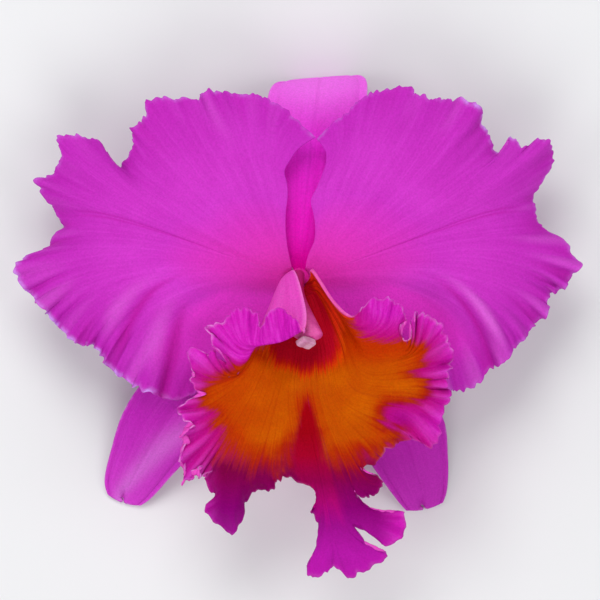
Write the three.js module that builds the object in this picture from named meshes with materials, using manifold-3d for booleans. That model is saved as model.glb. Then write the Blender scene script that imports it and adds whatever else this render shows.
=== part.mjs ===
// A large cattleya bloom, cut with its stalk and laid on its back, face up.
//
// Millimetres. +Z points up, out of the face of the bloom; +Y points towards the dorsal sepal; +X to the
// viewer's right. The origin lies on the surface, under the middle of the bloom's outline.
// Every outline below is drawn from the heart of the bloom, where all its segments join.

import * as THREE from "three";
import Module from "manifold-3d";
import { mergeVertices } from "three/addons/utils/BufferGeometryUtils.js";

const wasm = await Module();
wasm.setup();

// ---- driving dimensions ----

const HEART_HEIGHT = 30; // the heart above the surface that the bloom lies on
const HEART = new THREE.Vector3(0.9, 17.5, HEART_HEIGHT);

const PETAL_THICKNESS = 0.8;
const SEPAL_THICKNESS = 1.0;
const LIP_THICKNESS = 0.8;
const BASE_SHARE = 1.35; // a blade's thickness at its seat and at its margin, as shares of the above
const MARGIN_SHARE = 0.85;
const SEAT_GAP = 0.3; // between neighbouring pieces where one is carried by the other

const RECEPTACLE = new THREE.Vector3(-0.3, -3, 0); // the top of the ovary, which carries every segment
const RECEPTACLE_RADIUS = 3;
const SEAT_RADIUS = RECEPTACLE_RADIUS + 0.39; // the blades' inner edges, whose corners keep SEAT_GAP
const LIP_TIER = 1.4; // heights at which the whorls leave the receptacle
const PETAL_TIER = -1.6;
const SEPAL_TIER = -5;

const OVARY_RADIUS = 2.9;
const STALK_RADIUS = 2.3;
const OVARY_RIBS = 6;
const OVARY_RIB_HEIGHT = 0.3;

const COLUMN_APEX_WIDTH = 9.2;
const COLUMN_BASE_WIDTH = 4.4;
const COLUMN_DEPTH = 5.4;
const COLUMN_BELLY = 0.7; // its flat underside's depth as a share of its round back's

// ---- helpers ----

const point = ([x, y, z = 0]) => new THREE.Vector3(x, y, z);
const curveThrough = (points) =>
  new THREE.CatmullRomCurve3(points.map(point), false, "catmullrom", 0.5);
const keyed = (values) => {
  const curve = curveThrough(values.map((value) => [value, 0, 0]));
  return (s) => curve.getPoint(s).x;
};
const wave = (turns) => Math.sin(2 * Math.PI * turns);
const { degToRad: radians, lerp, smoothstep } = THREE.MathUtils;

// The arc on which a segment is seated, round the receptacle.
function seatPoint(middleDegrees, halfSpanDegrees, height, s) {
  const angle = radians(middleDegrees + halfSpanDegrees * (1 - 2 * s));
  return new THREE.Vector3(
    RECEPTACLE.x + SEAT_RADIUS * Math.cos(angle),
    RECEPTACLE.y + SEAT_RADIUS * Math.sin(angle),
    height,
  );
}

// A thin blade: surface(s, t) is its middle layer, s across the veins and t along them, both from 0 to 1.
// Its two faces are split into the same triangles, so that they never cross, and a rim closes it.
function bladeGeometry(surface, across, along, thicknessAt) {
  const middle = new THREE.PlaneGeometry(1, 1, across, along);
  const place = middle.attributes.position;
  const uv = middle.attributes.uv;
  for (let i = 0; i < place.count; i++) {
    const p = surface(uv.getX(i), uv.getY(i));
    place.setXYZ(i, p.x, p.y, p.z);
  }
  middle.computeVertexNormals();
  const normal = middle.attributes.normal;

  const vertices = [];
  for (const side of [1, -1]) {
    for (let i = 0; i < place.count; i++) {
      const half = (side * thicknessAt(uv.getX(i), uv.getY(i))) / 2;
      vertices.push(
        place.getX(i) + half * normal.getX(i),
        place.getY(i) + half * normal.getY(i),
        Math.max(place.getZ(i) + half * normal.getZ(i), -HEART_HEIGHT),
      );
    }
  }

  const front = Array.from(middle.index.array);
  const triangles = [...front];
  for (let i = 0; i < front.length; i += 3)
    triangles.push(
      front[i] + place.count,
      front[i + 2] + place.count,
      front[i + 1] + place.count,
    );

  const corner = (column, row) => row * (across + 1) + column;
  const border = [];
  for (let row = 0; row < along; row++) border.push(corner(0, row));
  for (let column = 0; column < across; column++)
    border.push(corner(column, along));
  for (let row = along; row > 0; row--) border.push(corner(across, row));
  for (let column = across; column > 0; column--)
    border.push(corner(column, 0));
  border.forEach((a, i) => {
    const b = border[(i + 1) % border.length];
    triangles.push(b, a, a + place.count, b, a + place.count, b + place.count);
  });

  return new THREE.BufferGeometry()
    .setAttribute("position", new THREE.Float32BufferAttribute(vertices, 3))
    .setIndex(triangles);
}

// A cylinder bent along a curve; reach(angle, along) is its half width in each direction of the section.
function limbGeometry(curve, around, steps, reach) {
  const limb = new THREE.CylinderGeometry(1, 1, 1, around, steps);
  const place = limb.attributes.position;
  const up = new THREE.Vector3(1, 0, 0);
  for (let i = 0; i < place.count; i++) {
    const along = 0.5 - place.getY(i);
    const centre = curve.getPointAt(along);
    const tangent = curve.getTangentAt(along);
    const outward = new THREE.Vector3().crossVectors(tangent, up).normalize();
    const sideways = new THREE.Vector3().crossVectors(outward, tangent);
    const [wide, deep] = reach(
      Math.atan2(place.getZ(i), place.getX(i)),
      along,
    );
    centre.addScaledVector(sideways, wide * place.getX(i));
    centre.addScaledVector(outward, deep * place.getZ(i));
    place.setXYZ(
      i,
      centre.x,
      centre.y,
      Math.max(centre.z, -HEART_HEIGHT),
    );
  }
  return limb;
}

function solidOf(geometry) {
  const bare = new THREE.BufferGeometry()
    .setAttribute("position", geometry.attributes.position)
    .setIndex(geometry.index);
  const merged = mergeVertices(bare);
  return new wasm.Manifold(
    new wasm.Mesh({
      numProp: 3,
      vertProperties: new Float32Array(merged.attributes.position.array),
      triVerts: new Uint32Array(merged.index.array),
    }),
  );
}

function geometryOf(solid) {
  const mesh = solid.getMesh();
  return new THREE.BufferGeometry()
    .setAttribute("position", new THREE.BufferAttribute(mesh.vertProperties, 3))
    .setIndex(new THREE.BufferAttribute(mesh.triVerts, 1));
}

// ---- petals: broad fans whose veins leave a narrow claw and arc to a ruffled margin ----

// Margins run from the top of the gap over the heart, round the tip, to the hidden lower edge. A pleat is
// [place along the margin's points, height at the margin, half width in points].
const PETALS = {
  left_petal: {
    seatMiddle: 172,
    margin: [
      [4.6, 38.2], [-2, 44.5], [-8, 48.8], [-14, 50.8], [-21, 51.4], [-27, 52.2],
      [-30, 49.8], [-37, 50], [-45, 49.4], [-45.7, 44.5], [-49.8, 41], [-49.2, 36.5],
      [-51.8, 31.5], [-53.6, 29.4], [-56, 32], [-58.5, 36.4], [-65, 39], [-71.6, 38.6],
      [-70.2, 33], [-72.8, 28.2], [-77.8, 25.6], [-74.2, 19.5], [-70.8, 13.5], [-72.5, 9],
      [-78, 4.8], [-84, 0.8], [-81, -6], [-76, -11], [-71.8, -16.5], [-66, -22.4],
      [-60.5, -23.6], [-57, -29], [-51, -33.3], [-44, -37.2], [-36.4, -39.3],
      [-29, -36], [-21, -31], [-11, -22],
    ],
    marginDepth: [6, 4, 2, -1, -4, -6, -8, -8, -6, -3, -2],
    arch: [
      [-8.5, 23, 6], [-10, 24, 8], [-18, 21, 9], [-26, 18, 9], [-32, 16.5, 9],
      [-38, 13.5, 8], [-39, 9, 8], [-38, 4, 8], [-33, -1, 8], [-22, -5, 4], [-6, -8.5, -2],
    ],
    pleats: [
      [5, 2.2, 0.9], [8.5, 1.6, 1.2], [13, -2, 1.4], [16.5, 1.8, 1.6], [22, -1.8, 1.6],
      [25, 1.5, 0.8], [33.2, 3.4, 0.9], [34.8, -2.2, 1],
    ],
    pleated: [26, 32],
  },
  right_petal: {
    seatMiddle: 12,
    margin: [
      [4.9, 37.8], [9.5, 42.6], [14.2, 46], [18.6, 50], [24, 52.4], [31, 53],
      [35, 50.8], [40, 49.7], [45.5, 49], [51.8, 48.6], [54.5, 43], [56, 37],
      [58.8, 33], [60.9, 35.5], [61.9, 38.4], [65.5, 35.6], [70, 37.7], [73.4, 37.2],
      [74.8, 32], [71.6, 26.3], [68.9, 20], [70.2, 14.7], [74, 10.6], [81.8, 1.9],
      [78.4, -5.5], [73.6, -8], [71.8, -15], [66.2, -20.3], [62.3, -25.3],
      [57, -29.8], [53, -33.2], [47, -36.2], [42, -34.8], [35, -33], [25, -28],
      [14, -20],
    ],
    marginDepth: [3.5, 3, 2, 0, -3, -6, -8, -8, -6, -3, -2],
    arch: [
      [6.3, 21, 5], [13, 25, 8], [21, 22, 9], [30, 19.5, 9], [35, 18, 9],
      [40, 15.5, 8], [40, 10, 8], [40, 4.5, 8], [34, -2, 8], [24, -7, 4], [7, -8.5, -2],
    ],
    pleats: [
      [3, 1.6, 0.9], [5.2, 1.2, 0.8], [9.2, 2.6, 0.9], [10.8, -2.6, 0.8], [14, 1.2, 1],
      [16.5, 2, 1], [18.8, -1.6, 1.2], [23, 1.5, 0.8], [28.3, 3, 0.9], [29.9, -1.8, 0.9],
    ],
    pleated: [23.5, 27],
  },
};
const PETAL_SEAT_HALF_SPAN = 40;
const PETAL_FLUTE = 1.1; // height of the close pleats along the lower margin, one to each point of it
const PETAL_RUFFLE = 0.7; // height of the ruffles all along the margin
const PETAL_RUFFLES = 17;
const PETAL_CALM = 1 / 6; // the share of the margin, from each hidden inner edge, where waves build up

function petalSurface({ seatMiddle, margin, marginDepth, arch, pleats, pleated }) {
  const marginCurve = curveThrough(margin);
  const depth = keyed(marginDepth);
  const archCurve = curveThrough(arch);
  const turn = Math.abs(seatMiddle) > 90 ? 1 : -1; // margins start at the top on both sides
  return (s, t) => {
    const seat = seatPoint(seatMiddle, -turn * PETAL_SEAT_HALF_SPAN, PETAL_TIER, s);
    const rim = marginCurve.getPoint(s).setZ(depth(s));
    const p = seat
      .multiplyScalar((1 - t) ** 2)
      .addScaledVector(archCurve.getPoint(s), 2 * t * (1 - t))
      .addScaledVector(rim, t ** 2);

    const place = s * (margin.length - 1);
    const calm = Math.min(1, s / PETAL_CALM, (1 - s) / PETAL_CALM);
    for (const [at, height, halfWidth] of pleats)
      p.z += calm * height * t ** 4 * Math.exp(-(((place - at) / halfWidth) ** 2));
    const [from, to] = pleated;
    const fluted = smoothstep(place, from - 1, from) - smoothstep(place, to, to + 1);
    p.z += fluted * PETAL_FLUTE * t ** 4 * wave(place);
    p.z += calm * PETAL_RUFFLE * t ** 6 * wave(PETAL_RUFFLES * s);
    return p;
  };
}

// ---- sepals: long blunt straps that arch back until their tips touch the surface ----

// A spine runs from the seat to the tip: [x, y, z, width there]; across is the way that width lies, in
// degrees, at the seat and at the tip.
const SEPALS = {
  dorsal_sepal: {
    seatMiddle: 88,
    spine: [
      [0.5, 6, -4, 12], [1.8, 20, -2.5, 21], [3.4, 37, -4, 28], [5, 49, -9.5, 29.5],
      [5.8, 55.3, -18, 27.4], [6, 56.3, -25, 21], [6, 54.6, -31, 9],
    ],
    across: [-2, 6],
  },
  left_lateral_sepal: {
    seatMiddle: 224,
    spine: [
      [-12, -14.5, -4, 12], [-23, -27, -5, 20], [-34, -38.5, -8, 25], [-41.5, -48, -14, 24],
      [-47.3, -58, -21.5, 19.5], [-51.2, -65.5, -27, 15], [-52.6, -69.6, -31, 9.5],
    ],
    across: [138, 162],
  },
  right_lateral_sepal: {
    seatMiddle: 306,
    spine: [
      [8, -15, -4, 12], [16.5, -28, -5, 20], [24.5, -39.5, -8, 25], [30.6, -49.5, -14, 25.5],
      [34.2, -59.5, -21.5, 20.5], [36.4, -67.5, -27, 14], [36.8, -71.5, -31, 9],
    ],
    across: [212, 192],
  },
};
const SEPAL_SEAT_HALF_SPAN = 36;
const SEPAL_KEEL = 1.6; // how far the middle stands forward of the edges, from the seat to KEEL_END
const KEEL_END = 0.9;

function sepalSurface({ seatMiddle, spine, across }) {
  const seat = seatPoint(seatMiddle, 0, SEPAL_TIER, 0.5);
  const seatWidth = 2 * SEAT_RADIUS * Math.sin(radians(SEPAL_SEAT_HALF_SPAN));
  const spineCurve = curveThrough([seat.toArray(), ...spine]);
  const widthAt = keyed([seatWidth, ...spine.map(([, , , width]) => width)]);
  return (s, t) => {
    const p = spineCurve.getPoint(t);
    const angle = radians(lerp(...across, t));
    const side = 1 - 2 * s;
    const half = widthAt(t) / 2;
    p.x -= side * half * Math.cos(angle);
    p.y -= side * half * Math.sin(angle);
    p.z -= SEPAL_KEEL * side ** 2 * Math.sin(Math.PI * Math.min(1, t / KEEL_END));
    return p;
  };
}

// ---- lip: side lobes rolled round the column into a tube, opening to a wide frilled skirt ----

// Each ring runs from the left lobe's free edge, over the column, round below it to the right lobe's.
const LIP_CLAW = curveThrough([
  [-3.5, -2.6, 4.6], [-4, -3.4, 3.9], [-4.4, -4.6, 3], [-4.2, -6, 1.9], [-2.6, -7.2, 1.2],
  [-0.2, -7.6, 0.9], [2.2, -7.2, 1.2], [3.8, -5.4, 2.4], [3.1, -2.4, 4.6],
]);
const LIP_TUBE = curveThrough([
  [-1.2, -1.5, 7.8], [-4, -3, 8], [-6, -5, 6.5], [-6.3, -7.5, 3.8], [-4, -9.3, 2],
  [0.5, -10, 1.4], [5, -9, 2.2], [6.5, -6.5, 4.3], [3.7, -0.8, 7.8],
]);
const LIP_MOUTH = curveThrough([
  [1.6, -11.5, 17.2], [-4, -12.5, 17.8], [-9, -14.5, 15.5], [-11, -18, 11.5],
  [-7, -22, 8], [1.5, -24, 6.5], [9.5, -22, 8.5], [14, -17.5, 12], [8.8, -8.6, 14],
]);
const LIP_BELL = curveThrough([
  [1.9, -15.8, 20.8], [-4.5, -18, 20.4], [-11, -21, 17], [-16, -29, 15.5],
  [-12, -37, 15.5], [1.5, -39.5, 13.5], [13.5, -37, 15.5], [20, -27, 16.5], [11.4, -11.6, 17],
]);

// Veins where the skirt folds or spreads: [place along the margin, place round the rings, x, y, z].
const LIP_FOLDS = [
  [0, 0, 1.5, -17.6, 21.8], [3, 0.11, -4.4, -20.6, 22.5], [6, 0.22, -11.3, -22.2, 19.5],
  [10, 0.28, -17.6, -22, 18], [14, 0.33, -18.5, -30.5, 17], [18, 0.375, -25, -32.5, 17],
  [22, 0.42, -26.5, -42, 16], [26, 0.46, -26, -52.5, 13.4], [27, 0.467, -25.4, -53.2, 13.2],
  [28, 0.474, -24.8, -54, 13], [29, 0.481, -24, -54.8, 12.8], [30, 0.488, -23.6, -57, 12.3],
  [31, 0.497, -22.4, -61.5, 11.6], [32, 0.505, -21.8, -64.5, 11.1], [33, 0.514, -20.6, -66.5, 10.8],
  [34, 0.523, -19.2, -67.5, 10.7], [35, 0.532, -17.8, -66, 10.9], [36, 0.541, -15.8, -62, 11.5],
  [37, 0.55, -13.2, -59.5, 11.9], [38, 0.558, -9.6, -58.4, 12.1], [39, 0.566, -7.4, -57, 12.4],
  [40, 0.574, -4.4, -56, 12.5], [41, 0.583, -0.4, -56.6, 12.4], [42, 0.592, 2.6, -59.5, 12],
  [43, 0.599, 4.2, -62.5, 11.5], [44, 0.605, 5, -65, 11.1], [45, 0.611, 6.2, -68, 10.7],
  [46, 0.617, 7, -71, 10.3], [47, 0.621, 7.4, -73.6, 10], [48, 0.624, 7.8, -75, 9.8],
  [50, 0.631, 9, -76, 9.6], [52, 0.638, 10.4, -75.8, 9.6], [54, 0.645, 12, -74, 9.8],
  [55, 0.648, 12.6, -72.4, 10], [56, 0.651, 13.2, -70.2, 10.3], [57, 0.654, 14.6, -70.4, 10.2],
  [58, 0.657, 15.8, -70.8, 10.1], [59, 0.66, 17, -70, 10.2], [60, 0.663, 17.2, -68.6, 10.4],
  [61, 0.666, 16.8, -67.4, 10.6], [62, 0.669, 16, -65.6, 10.9], [63, 0.673, 14.6, -61.4, 11.6],
  [64, 0.677, 16.2, -61.8, 11.6], [65, 0.68, 17.4, -61.4, 11.7], [66, 0.683, 17.9, -60, 11.9],
  [67, 0.687, 17.4, -58.4, 12.2], [68, 0.693, 15.8, -54.4, 12.9], [69, 0.7, 18.8, -52.4, 13.4],
  [70, 0.708, 20.8, -50, 14.2], [72, 0.725, 25, -46.2, 15.2], [74, 0.75, 30, -43.2, 16],
  [78, 0.81, 35, -34.4, 17],
  [82, 0.86, 34, -26, 17.5], [87, 0.9, 30, -24, 18.5], [92, 0.94, 23.5, -16.5, 17.8],
  [94, 0.97, 17.4, -16.3, 18.7], [96, 1, 12.6, -12.9, 18.2],
];
const lipFolds = new THREE.CubicInterpolant(
  LIP_FOLDS.map(([place]) => place),
  LIP_FOLDS.flatMap(([, ...values]) => values),
  4,
);

const LIP_MARGIN = [
  [1.2, -19.1, 22.5], [-0.9, -15.3, 24], [-2.9, -14.1, 24.2], [-5, -12.1, 23.5], // rolled-back lobe
  [-8.8, -12.6, 21.5], [-10.6, -15.6, 20.5], [-11.5, -17.4, 19], [-12.6, -13.5, 17.5],
  [-15.9, -11.8, 16.5], [-19.7, -12.9, 16], [-22.1, -15.9, 17], [-25.3, -15.9, 17.5], // left frill
  [-27.4, -18.2, 16], [-24.7, -22.6, 19], [-21.2, -28.8, 18.5], [-25.9, -24.7, 15],
  [-29.4, -22.6, 16], [-32.9, -24.1, 14], [-34.1, -30.6, 15], [-31.5, -35.3, 17],
  [-32.4, -37.9, 15.5], [-36.5, -41.5, 13.5], [-33.5, -43.8, 15], [-35.3, -48.2, 13],
  [-36.5, -54.1, 12.5], [-37.1, -60, 11], [-34.4, -64.1, 9.5], [-32.1, -62.1, 11],
  [-29.7, -61.8, 11.5], [-27.4, -59.4, 12], [-27.9, -62.9, 9], [-24.9, -67.4, 7], // lower left lobe
  [-28, -71.4, 4.5], [-23.6, -75.4, 3], [-19.6, -78, 2.5], [-17.4, -74.4, 4],
  [-15.6, -68.2, 6.5], [-12.4, -65, 8.5], [-8.2, -64.7, 10], [-6.2, -62.1, 11.5],
  [-2.9, -61.5, 12.5], [1.8, -63.5, 12], [4.7, -65.9, 11], [5.3, -69.1, 10], // tongue
  [3.5, -71.5, 8.5], [5.3, -75.6, 7.5], [5, -81.5, 6], [1.8, -87.6, 3.5], [3.8, -90.6, 3],
  [7.4, -89.3, 4.5], [10.2, -87.4, 4], [14.2, -90.8, 3], [17.4, -89.4, 4.5], [20.9, -87.6, 4],
  [25.6, -84.4, 3.5], [20.2, -81.4, 6.5], [16.4, -76.2, 8.5], [21.8, -78.6, 5.5], // right prong
  [24.9, -81.6, 5], [29.9, -78.8, 4.5], [30.6, -71.8, 5.5], [26, -71.6, 7.5],
  [20.3, -70.2, 9.5], [16, -66, 11], [19.4, -67.2, 10.5], [22, -66, 10], // small prong
  [24, -63.3, 10.5], [23, -61.2, 11.5], [18, -58.9, 12.4], [22.8, -57.2, 13.5],
  [24.7, -54.4, 15], [27.4, -52.1, 15.5], [31.8, -50.6, 15], [35.6, -50.9, 14.5], // right frill
  [38.8, -52.6, 13], [41.2, -48.2, 13.5], [41.5, -43.2, 14.5], [43.5, -38.2, 14],
  [43.8, -34.7, 15], [43.5, -31.5, 16.5], [45, -28.5, 15], [44.1, -24.1, 15.5],
  [42.9, -20.6, 15], [41.5, -16.8, 15.5], [38.2, -14.1, 15.5], [35, -13.2, 16],
  [32.6, -14.1, 17], [32.1, -20.3, 19.5], [29.7, -20.6, 19.5], [30, -15.6, 17.5],
  [30.6, -13.2, 16.5], [28.5, -10.6, 15.5], [25.3, -8.8, 15], [21.5, -9.1, 15.5],
  [18.2, -11.5, 17], [15.9, -14.1, 19], [13.8, -13.8, 19], // right lobe's free edge
];
const lipMargin = curveThrough(LIP_MARGIN);
const LIP_SEAT_MIDDLE = 270;
const LIP_SEAT_HALF_SPAN = 55;

function lipSurface(s, t) {
  const [around, ...fold] = lipFolds.evaluate(s * (LIP_MARGIN.length - 1));
  const vein = new THREE.CatmullRomCurve3(
    [
      seatPoint(LIP_SEAT_MIDDLE, -LIP_SEAT_HALF_SPAN, LIP_TIER, around),
      LIP_CLAW.getPoint(around),
      LIP_TUBE.getPoint(around),
      LIP_MOUTH.getPoint(around),
      LIP_BELL.getPoint(around),
      point(fold),
      lipMargin.getPoint(s),
    ],
    false,
    "catmullrom",
    0.5,
  );
  return vein.getPoint(t);
}

// ---- column, anther cap and pollinia ----

const COLUMN_AXIS = curveThrough([
  [-0.4, -1.6, 2.4], [-0.2, -7.6, 7.6], [1.2, -15, 13], [2.6, -21, 16.6],
]);
const COLUMN_TIP = COLUMN_AXIS.getPoint(1);
const COLUMN_END = new THREE.Quaternion().setFromUnitVectors(
  new THREE.Vector3(0, 1, 0),
  COLUMN_AXIS.getTangent(1),
);

// An ellipsoid placed from the column's tip: x across it, y beyond it, z towards its belly.
function tipEllipsoid([x, y, z], [across, beyond, deep], around = 16, rows = 10) {
  const ball = new THREE.SphereGeometry(1, around, rows);
  ball.scale(across, beyond, deep);
  ball.translate(x, y, z);
  ball.applyQuaternion(COLUMN_END);
  ball.translate(...COLUMN_TIP.toArray());
  return solidOf(ball);
}

const COLUMN_WIDENS = [0.25, 0.95]; // where it widens, as shares of its length
const STIGMA_CENTRE = [0, -4, 2.2];
const STIGMA_RADII = [2.4, 2.6, 1.7];

function columnSolid() {
  const body = limbGeometry(COLUMN_AXIS, 18, 10, (angle, along) => {
    const widened = smoothstep(along, ...COLUMN_WIDENS);
    const width = lerp(COLUMN_BASE_WIDTH, COLUMN_APEX_WIDTH, widened);
    const belly = Math.sin(angle) < 0 ? COLUMN_BELLY : 1;
    return [width / 2, (COLUMN_DEPTH / 2) * belly];
  });
  return solidOf(body).subtract(tipEllipsoid(STIGMA_CENTRE, STIGMA_RADII, 12, 8));
}

const CAP_CENTRE = [-0.6, SEAT_GAP, 0.5]; // on the column's end, a little to its left
const CAP_RADII = [3.1, 2.6, 2.3];
const CAP_HOLLOW = [2.1, 1.7, 1.5];
const CAP_BLOCK = 10; // side of a cube that holds the cap and ends at its flat base

function capSolid() {
  const [x, y, z] = CAP_CENTRE;
  const block = new THREE.BoxGeometry(CAP_BLOCK, CAP_BLOCK, CAP_BLOCK);
  block.translate(x, y + CAP_BLOCK / 2, z);
  block.applyQuaternion(COLUMN_END);
  block.translate(...COLUMN_TIP.toArray());
  return tipEllipsoid(CAP_CENTRE, CAP_RADII)
    .intersect(solidOf(block))
    .subtract(tipEllipsoid(CAP_CENTRE, CAP_HOLLOW, 12, 8));
}

// Four waxy grains side by side in the cap's hollow, tied by the strap that they are pulled out by.
const GRAIN_RADII = [0.36, 0.55, 0.62];
const GRAIN_SPACING = 0.62;
const GRAIN_PLACES = [-1.5, -0.5, 0.5, 1.5];
const GRAIN_RISE = 0.6; // above the cap's base
const STRAP_RADII = [1.15, 0.24, 0.3];
const STRAP_RISE = 0.3;

function polliniaSolid() {
  const [x, y, z] = CAP_CENTRE;
  let pollinia = tipEllipsoid([x, y + STRAP_RISE, z], STRAP_RADII, 8, 4);
  for (const place of GRAIN_PLACES) {
    const centre = [x + place * GRAIN_SPACING, y + GRAIN_RISE, z];
    pollinia = pollinia.add(tipEllipsoid(centre, GRAIN_RADII, 8, 5));
  }
  return pollinia;
}

// ---- ovary and stalk ----

const STALK_PATH = curveThrough([
  [-0.3, -3, 0.6], [-0.3, -3, -3.5], [-0.2, -3.3, -8.5], [0.3, -6.6, -16.5],
  [1.2, -14.8, -23.4], [2.3, -27, -27.2], [3.2, -40, -27.8], [4, -54, -27.8],
]);

const OVARY_BEGINS = [0.1, 0.2]; // where the receptacle turns into the ribbed ovary, as shares of the length
const OVARY_ENDS = [0.3, 0.75]; // and where that turns into the round stalk

function stalkGeometry() {
  return limbGeometry(STALK_PATH, 24, 24, (angle, along) => {
    const begun = smoothstep(along, ...OVARY_BEGINS);
    const ended = smoothstep(along, ...OVARY_ENDS);
    const body = lerp(OVARY_RADIUS, STALK_RADIUS, ended);
    const rib = OVARY_RIB_HEIGHT * begun * (1 - ended) * Math.cos(OVARY_RIBS * angle);
    const radius = lerp(RECEPTACLE_RADIUS, body, begun) + rib;
    return [radius, radius];
  });
}

// ---- the bloom ----

const MAGENTA = new THREE.MeshStandardMaterial({
  color: 0xd23ac8,
  roughness: 0.55,
});
const MAGENTA_BACK = new THREE.MeshStandardMaterial({
  color: 0xc24fb8,
  roughness: 0.6,
});
const ORANGE = new THREE.MeshStandardMaterial({
  color: 0xc8560a,
  roughness: 0.5,
});
const PALE_PINK = new THREE.MeshStandardMaterial({
  color: 0xd98ab4,
  roughness: 0.45,
});
const CREAM = new THREE.MeshStandardMaterial({
  color: 0xe6cdc4,
  roughness: 0.4,
});
const POLLEN_YELLOW = new THREE.MeshStandardMaterial({
  color: 0xe3c25a,
  roughness: 0.35,
});
const STALK_GREEN = new THREE.MeshStandardMaterial({
  color: 0x9fae6a,
  roughness: 0.5,
});

const bloom = new THREE.Group();
bloom.position.copy(HEART);

function addPiece(name, geometry, material) {
  const mesh = new THREE.Mesh(geometry, material);
  mesh.name = name;
  bloom.add(mesh);
}

const tapered = (thickness) => (s, t) => thickness * lerp(BASE_SHARE, MARGIN_SHARE, t);

for (const [name, petal] of Object.entries(PETALS))
  addPiece(
    name,
    bladeGeometry(petalSurface(petal), 74, 8, tapered(PETAL_THICKNESS)),
    MAGENTA,
  );
for (const [name, sepal] of Object.entries(SEPALS))
  addPiece(
    name,
    bladeGeometry(sepalSurface(sepal), 10, 22, tapered(SEPAL_THICKNESS)),
    MAGENTA_BACK,
  );
addPiece(
  "lip",
  bladeGeometry(lipSurface, 118, 12, tapered(LIP_THICKNESS)),
  ORANGE,
);
addPiece("column", geometryOf(columnSolid()), PALE_PINK);
addPiece("anther_cap", geometryOf(capSolid()), CREAM);
addPiece("pollinia", geometryOf(polliniaSolid()), POLLEN_YELLOW);
addPiece("ovary_and_stalk", stalkGeometry(), STALK_GREEN);

export default bloom;
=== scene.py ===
# %% [markdown]
# A cattleya bloom, cut with its stalk and laid on its back, so that the camera looks down into its face.
#
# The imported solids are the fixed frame: every piece here takes the place of one of them and keeps its form.
# A bloom is made of blades: thin sheets of living tissue that leave a narrow seat, spread along their veins
# and end in a margin that outgrew the rest, so that it had to ruffle. Such a sheet could be sculpted by hand,
# or simulated as a cloth that swells at its edge. Here each blade starts as a flat grid, Blender's own
# primitive. Its points are then laid on a surface whose two directions are the ones that the tissue has:
# s runs across the veins and t along them, from the seat to the margin. Veins, ruffles and colours can all
# be told in those two numbers.

# %% The frame and the tools
import math

import bpy
import numpy as np
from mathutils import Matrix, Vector


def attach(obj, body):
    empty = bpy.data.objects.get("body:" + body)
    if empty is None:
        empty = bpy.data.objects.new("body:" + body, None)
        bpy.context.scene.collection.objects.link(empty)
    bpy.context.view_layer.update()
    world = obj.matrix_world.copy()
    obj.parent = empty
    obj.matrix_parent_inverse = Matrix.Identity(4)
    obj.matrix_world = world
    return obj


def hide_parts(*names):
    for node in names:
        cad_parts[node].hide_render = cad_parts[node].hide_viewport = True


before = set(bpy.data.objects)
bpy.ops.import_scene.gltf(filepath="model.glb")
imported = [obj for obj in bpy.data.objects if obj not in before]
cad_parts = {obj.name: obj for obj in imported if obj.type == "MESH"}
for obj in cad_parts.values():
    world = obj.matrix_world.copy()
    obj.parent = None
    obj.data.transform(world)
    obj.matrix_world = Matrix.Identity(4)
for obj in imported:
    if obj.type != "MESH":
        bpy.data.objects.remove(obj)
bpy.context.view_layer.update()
print("nodes in the frame:", sorted(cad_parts))

MM = 0.001  # outlines are drawn in millimetres from the heart of the bloom, where all its segments join
HEART = np.array([0.9, 17.5, 30.0])
chance = np.random.default_rng(11)


# %% [markdown]
# The camera looks straight down, as one looks into the face of a standing bloom. A long lens from far away
# keeps the ruffles in front from hiding those behind. The surface is plain and pale, and the light is that of
# a shaded greenhouse: a wide soft source beyond the dorsal sepal, and weaker ones from the sides and front.

# %% Camera, surface and light
VIEW_WIDTH = 176.5  # millimetres across the picture, at the height of the petals
VIEW_CENTRE = np.array([0.9, 8.1, 28.0])
CAMERA_RISE = 2000.0

eye = Vector((VIEW_CENTRE + [0, 0, CAMERA_RISE]) * MM)
bpy.ops.object.camera_add(location=eye, rotation=(0, 0, 0))
camera = bpy.context.object
camera.data.lens = camera.data.sensor_width * CAMERA_RISE / VIEW_WIDTH
bpy.context.scene.camera = camera

bpy.ops.mesh.primitive_plane_add(size=6)
table = bpy.context.object
table.name = "table"
table.location.z = -0.00005  # just clear of the sepals' tips

LAMPS = [  # place in metres, size, watts
    ((-0.15, 0.7, 0.95), 0.7, 6.2),
    ((-0.8, -0.1, 0.8), 0.8, 3.0),
    ((0.8, -0.1, 0.9), 0.8, 3.2),
    ((0.0, -0.8, 0.9), 0.9, 4.7),
]
for place, size, watts in LAMPS:
    aim = Vector((0, 0, 0.03)) - Vector(place)
    bpy.ops.object.light_add(type="AREA", location=place, rotation=aim.to_track_quat("-Z", "Y").to_euler())
    lamp = bpy.context.object.data
    lamp.shape, lamp.size, lamp.energy = "DISK", size, watts

sky = bpy.data.worlds.new("sky")
sky.use_nodes = True
background = sky.node_tree.nodes["Background"].inputs
background["Color"].default_value = (0.9, 0.93, 1, 1)
background["Strength"].default_value = 0.3
bpy.context.scene.world = sky
bpy.context.scene.view_settings.view_transform = "Standard"
print("lens", round(camera.data.lens), "mm,", len(LAMPS), "lamps")


# %% [markdown]
# The outlines are curves through a few points each. A uniform Catmull-Rom curve passes through all its
# points and can be worked out for thousands of places at once with arrays, which a Blender curve object
# could not do as directly.


# %% Curves and waves
def through(before, start, end, after, w):
    """The Catmull-Rom curve from start to end at share w."""
    curved = (2 * before - 5 * start + 4 * end - after) * w**2 + (3 * start - before - 3 * end + after) * w**3
    return start + 0.5 * ((end - before) * w + curved)


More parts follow.
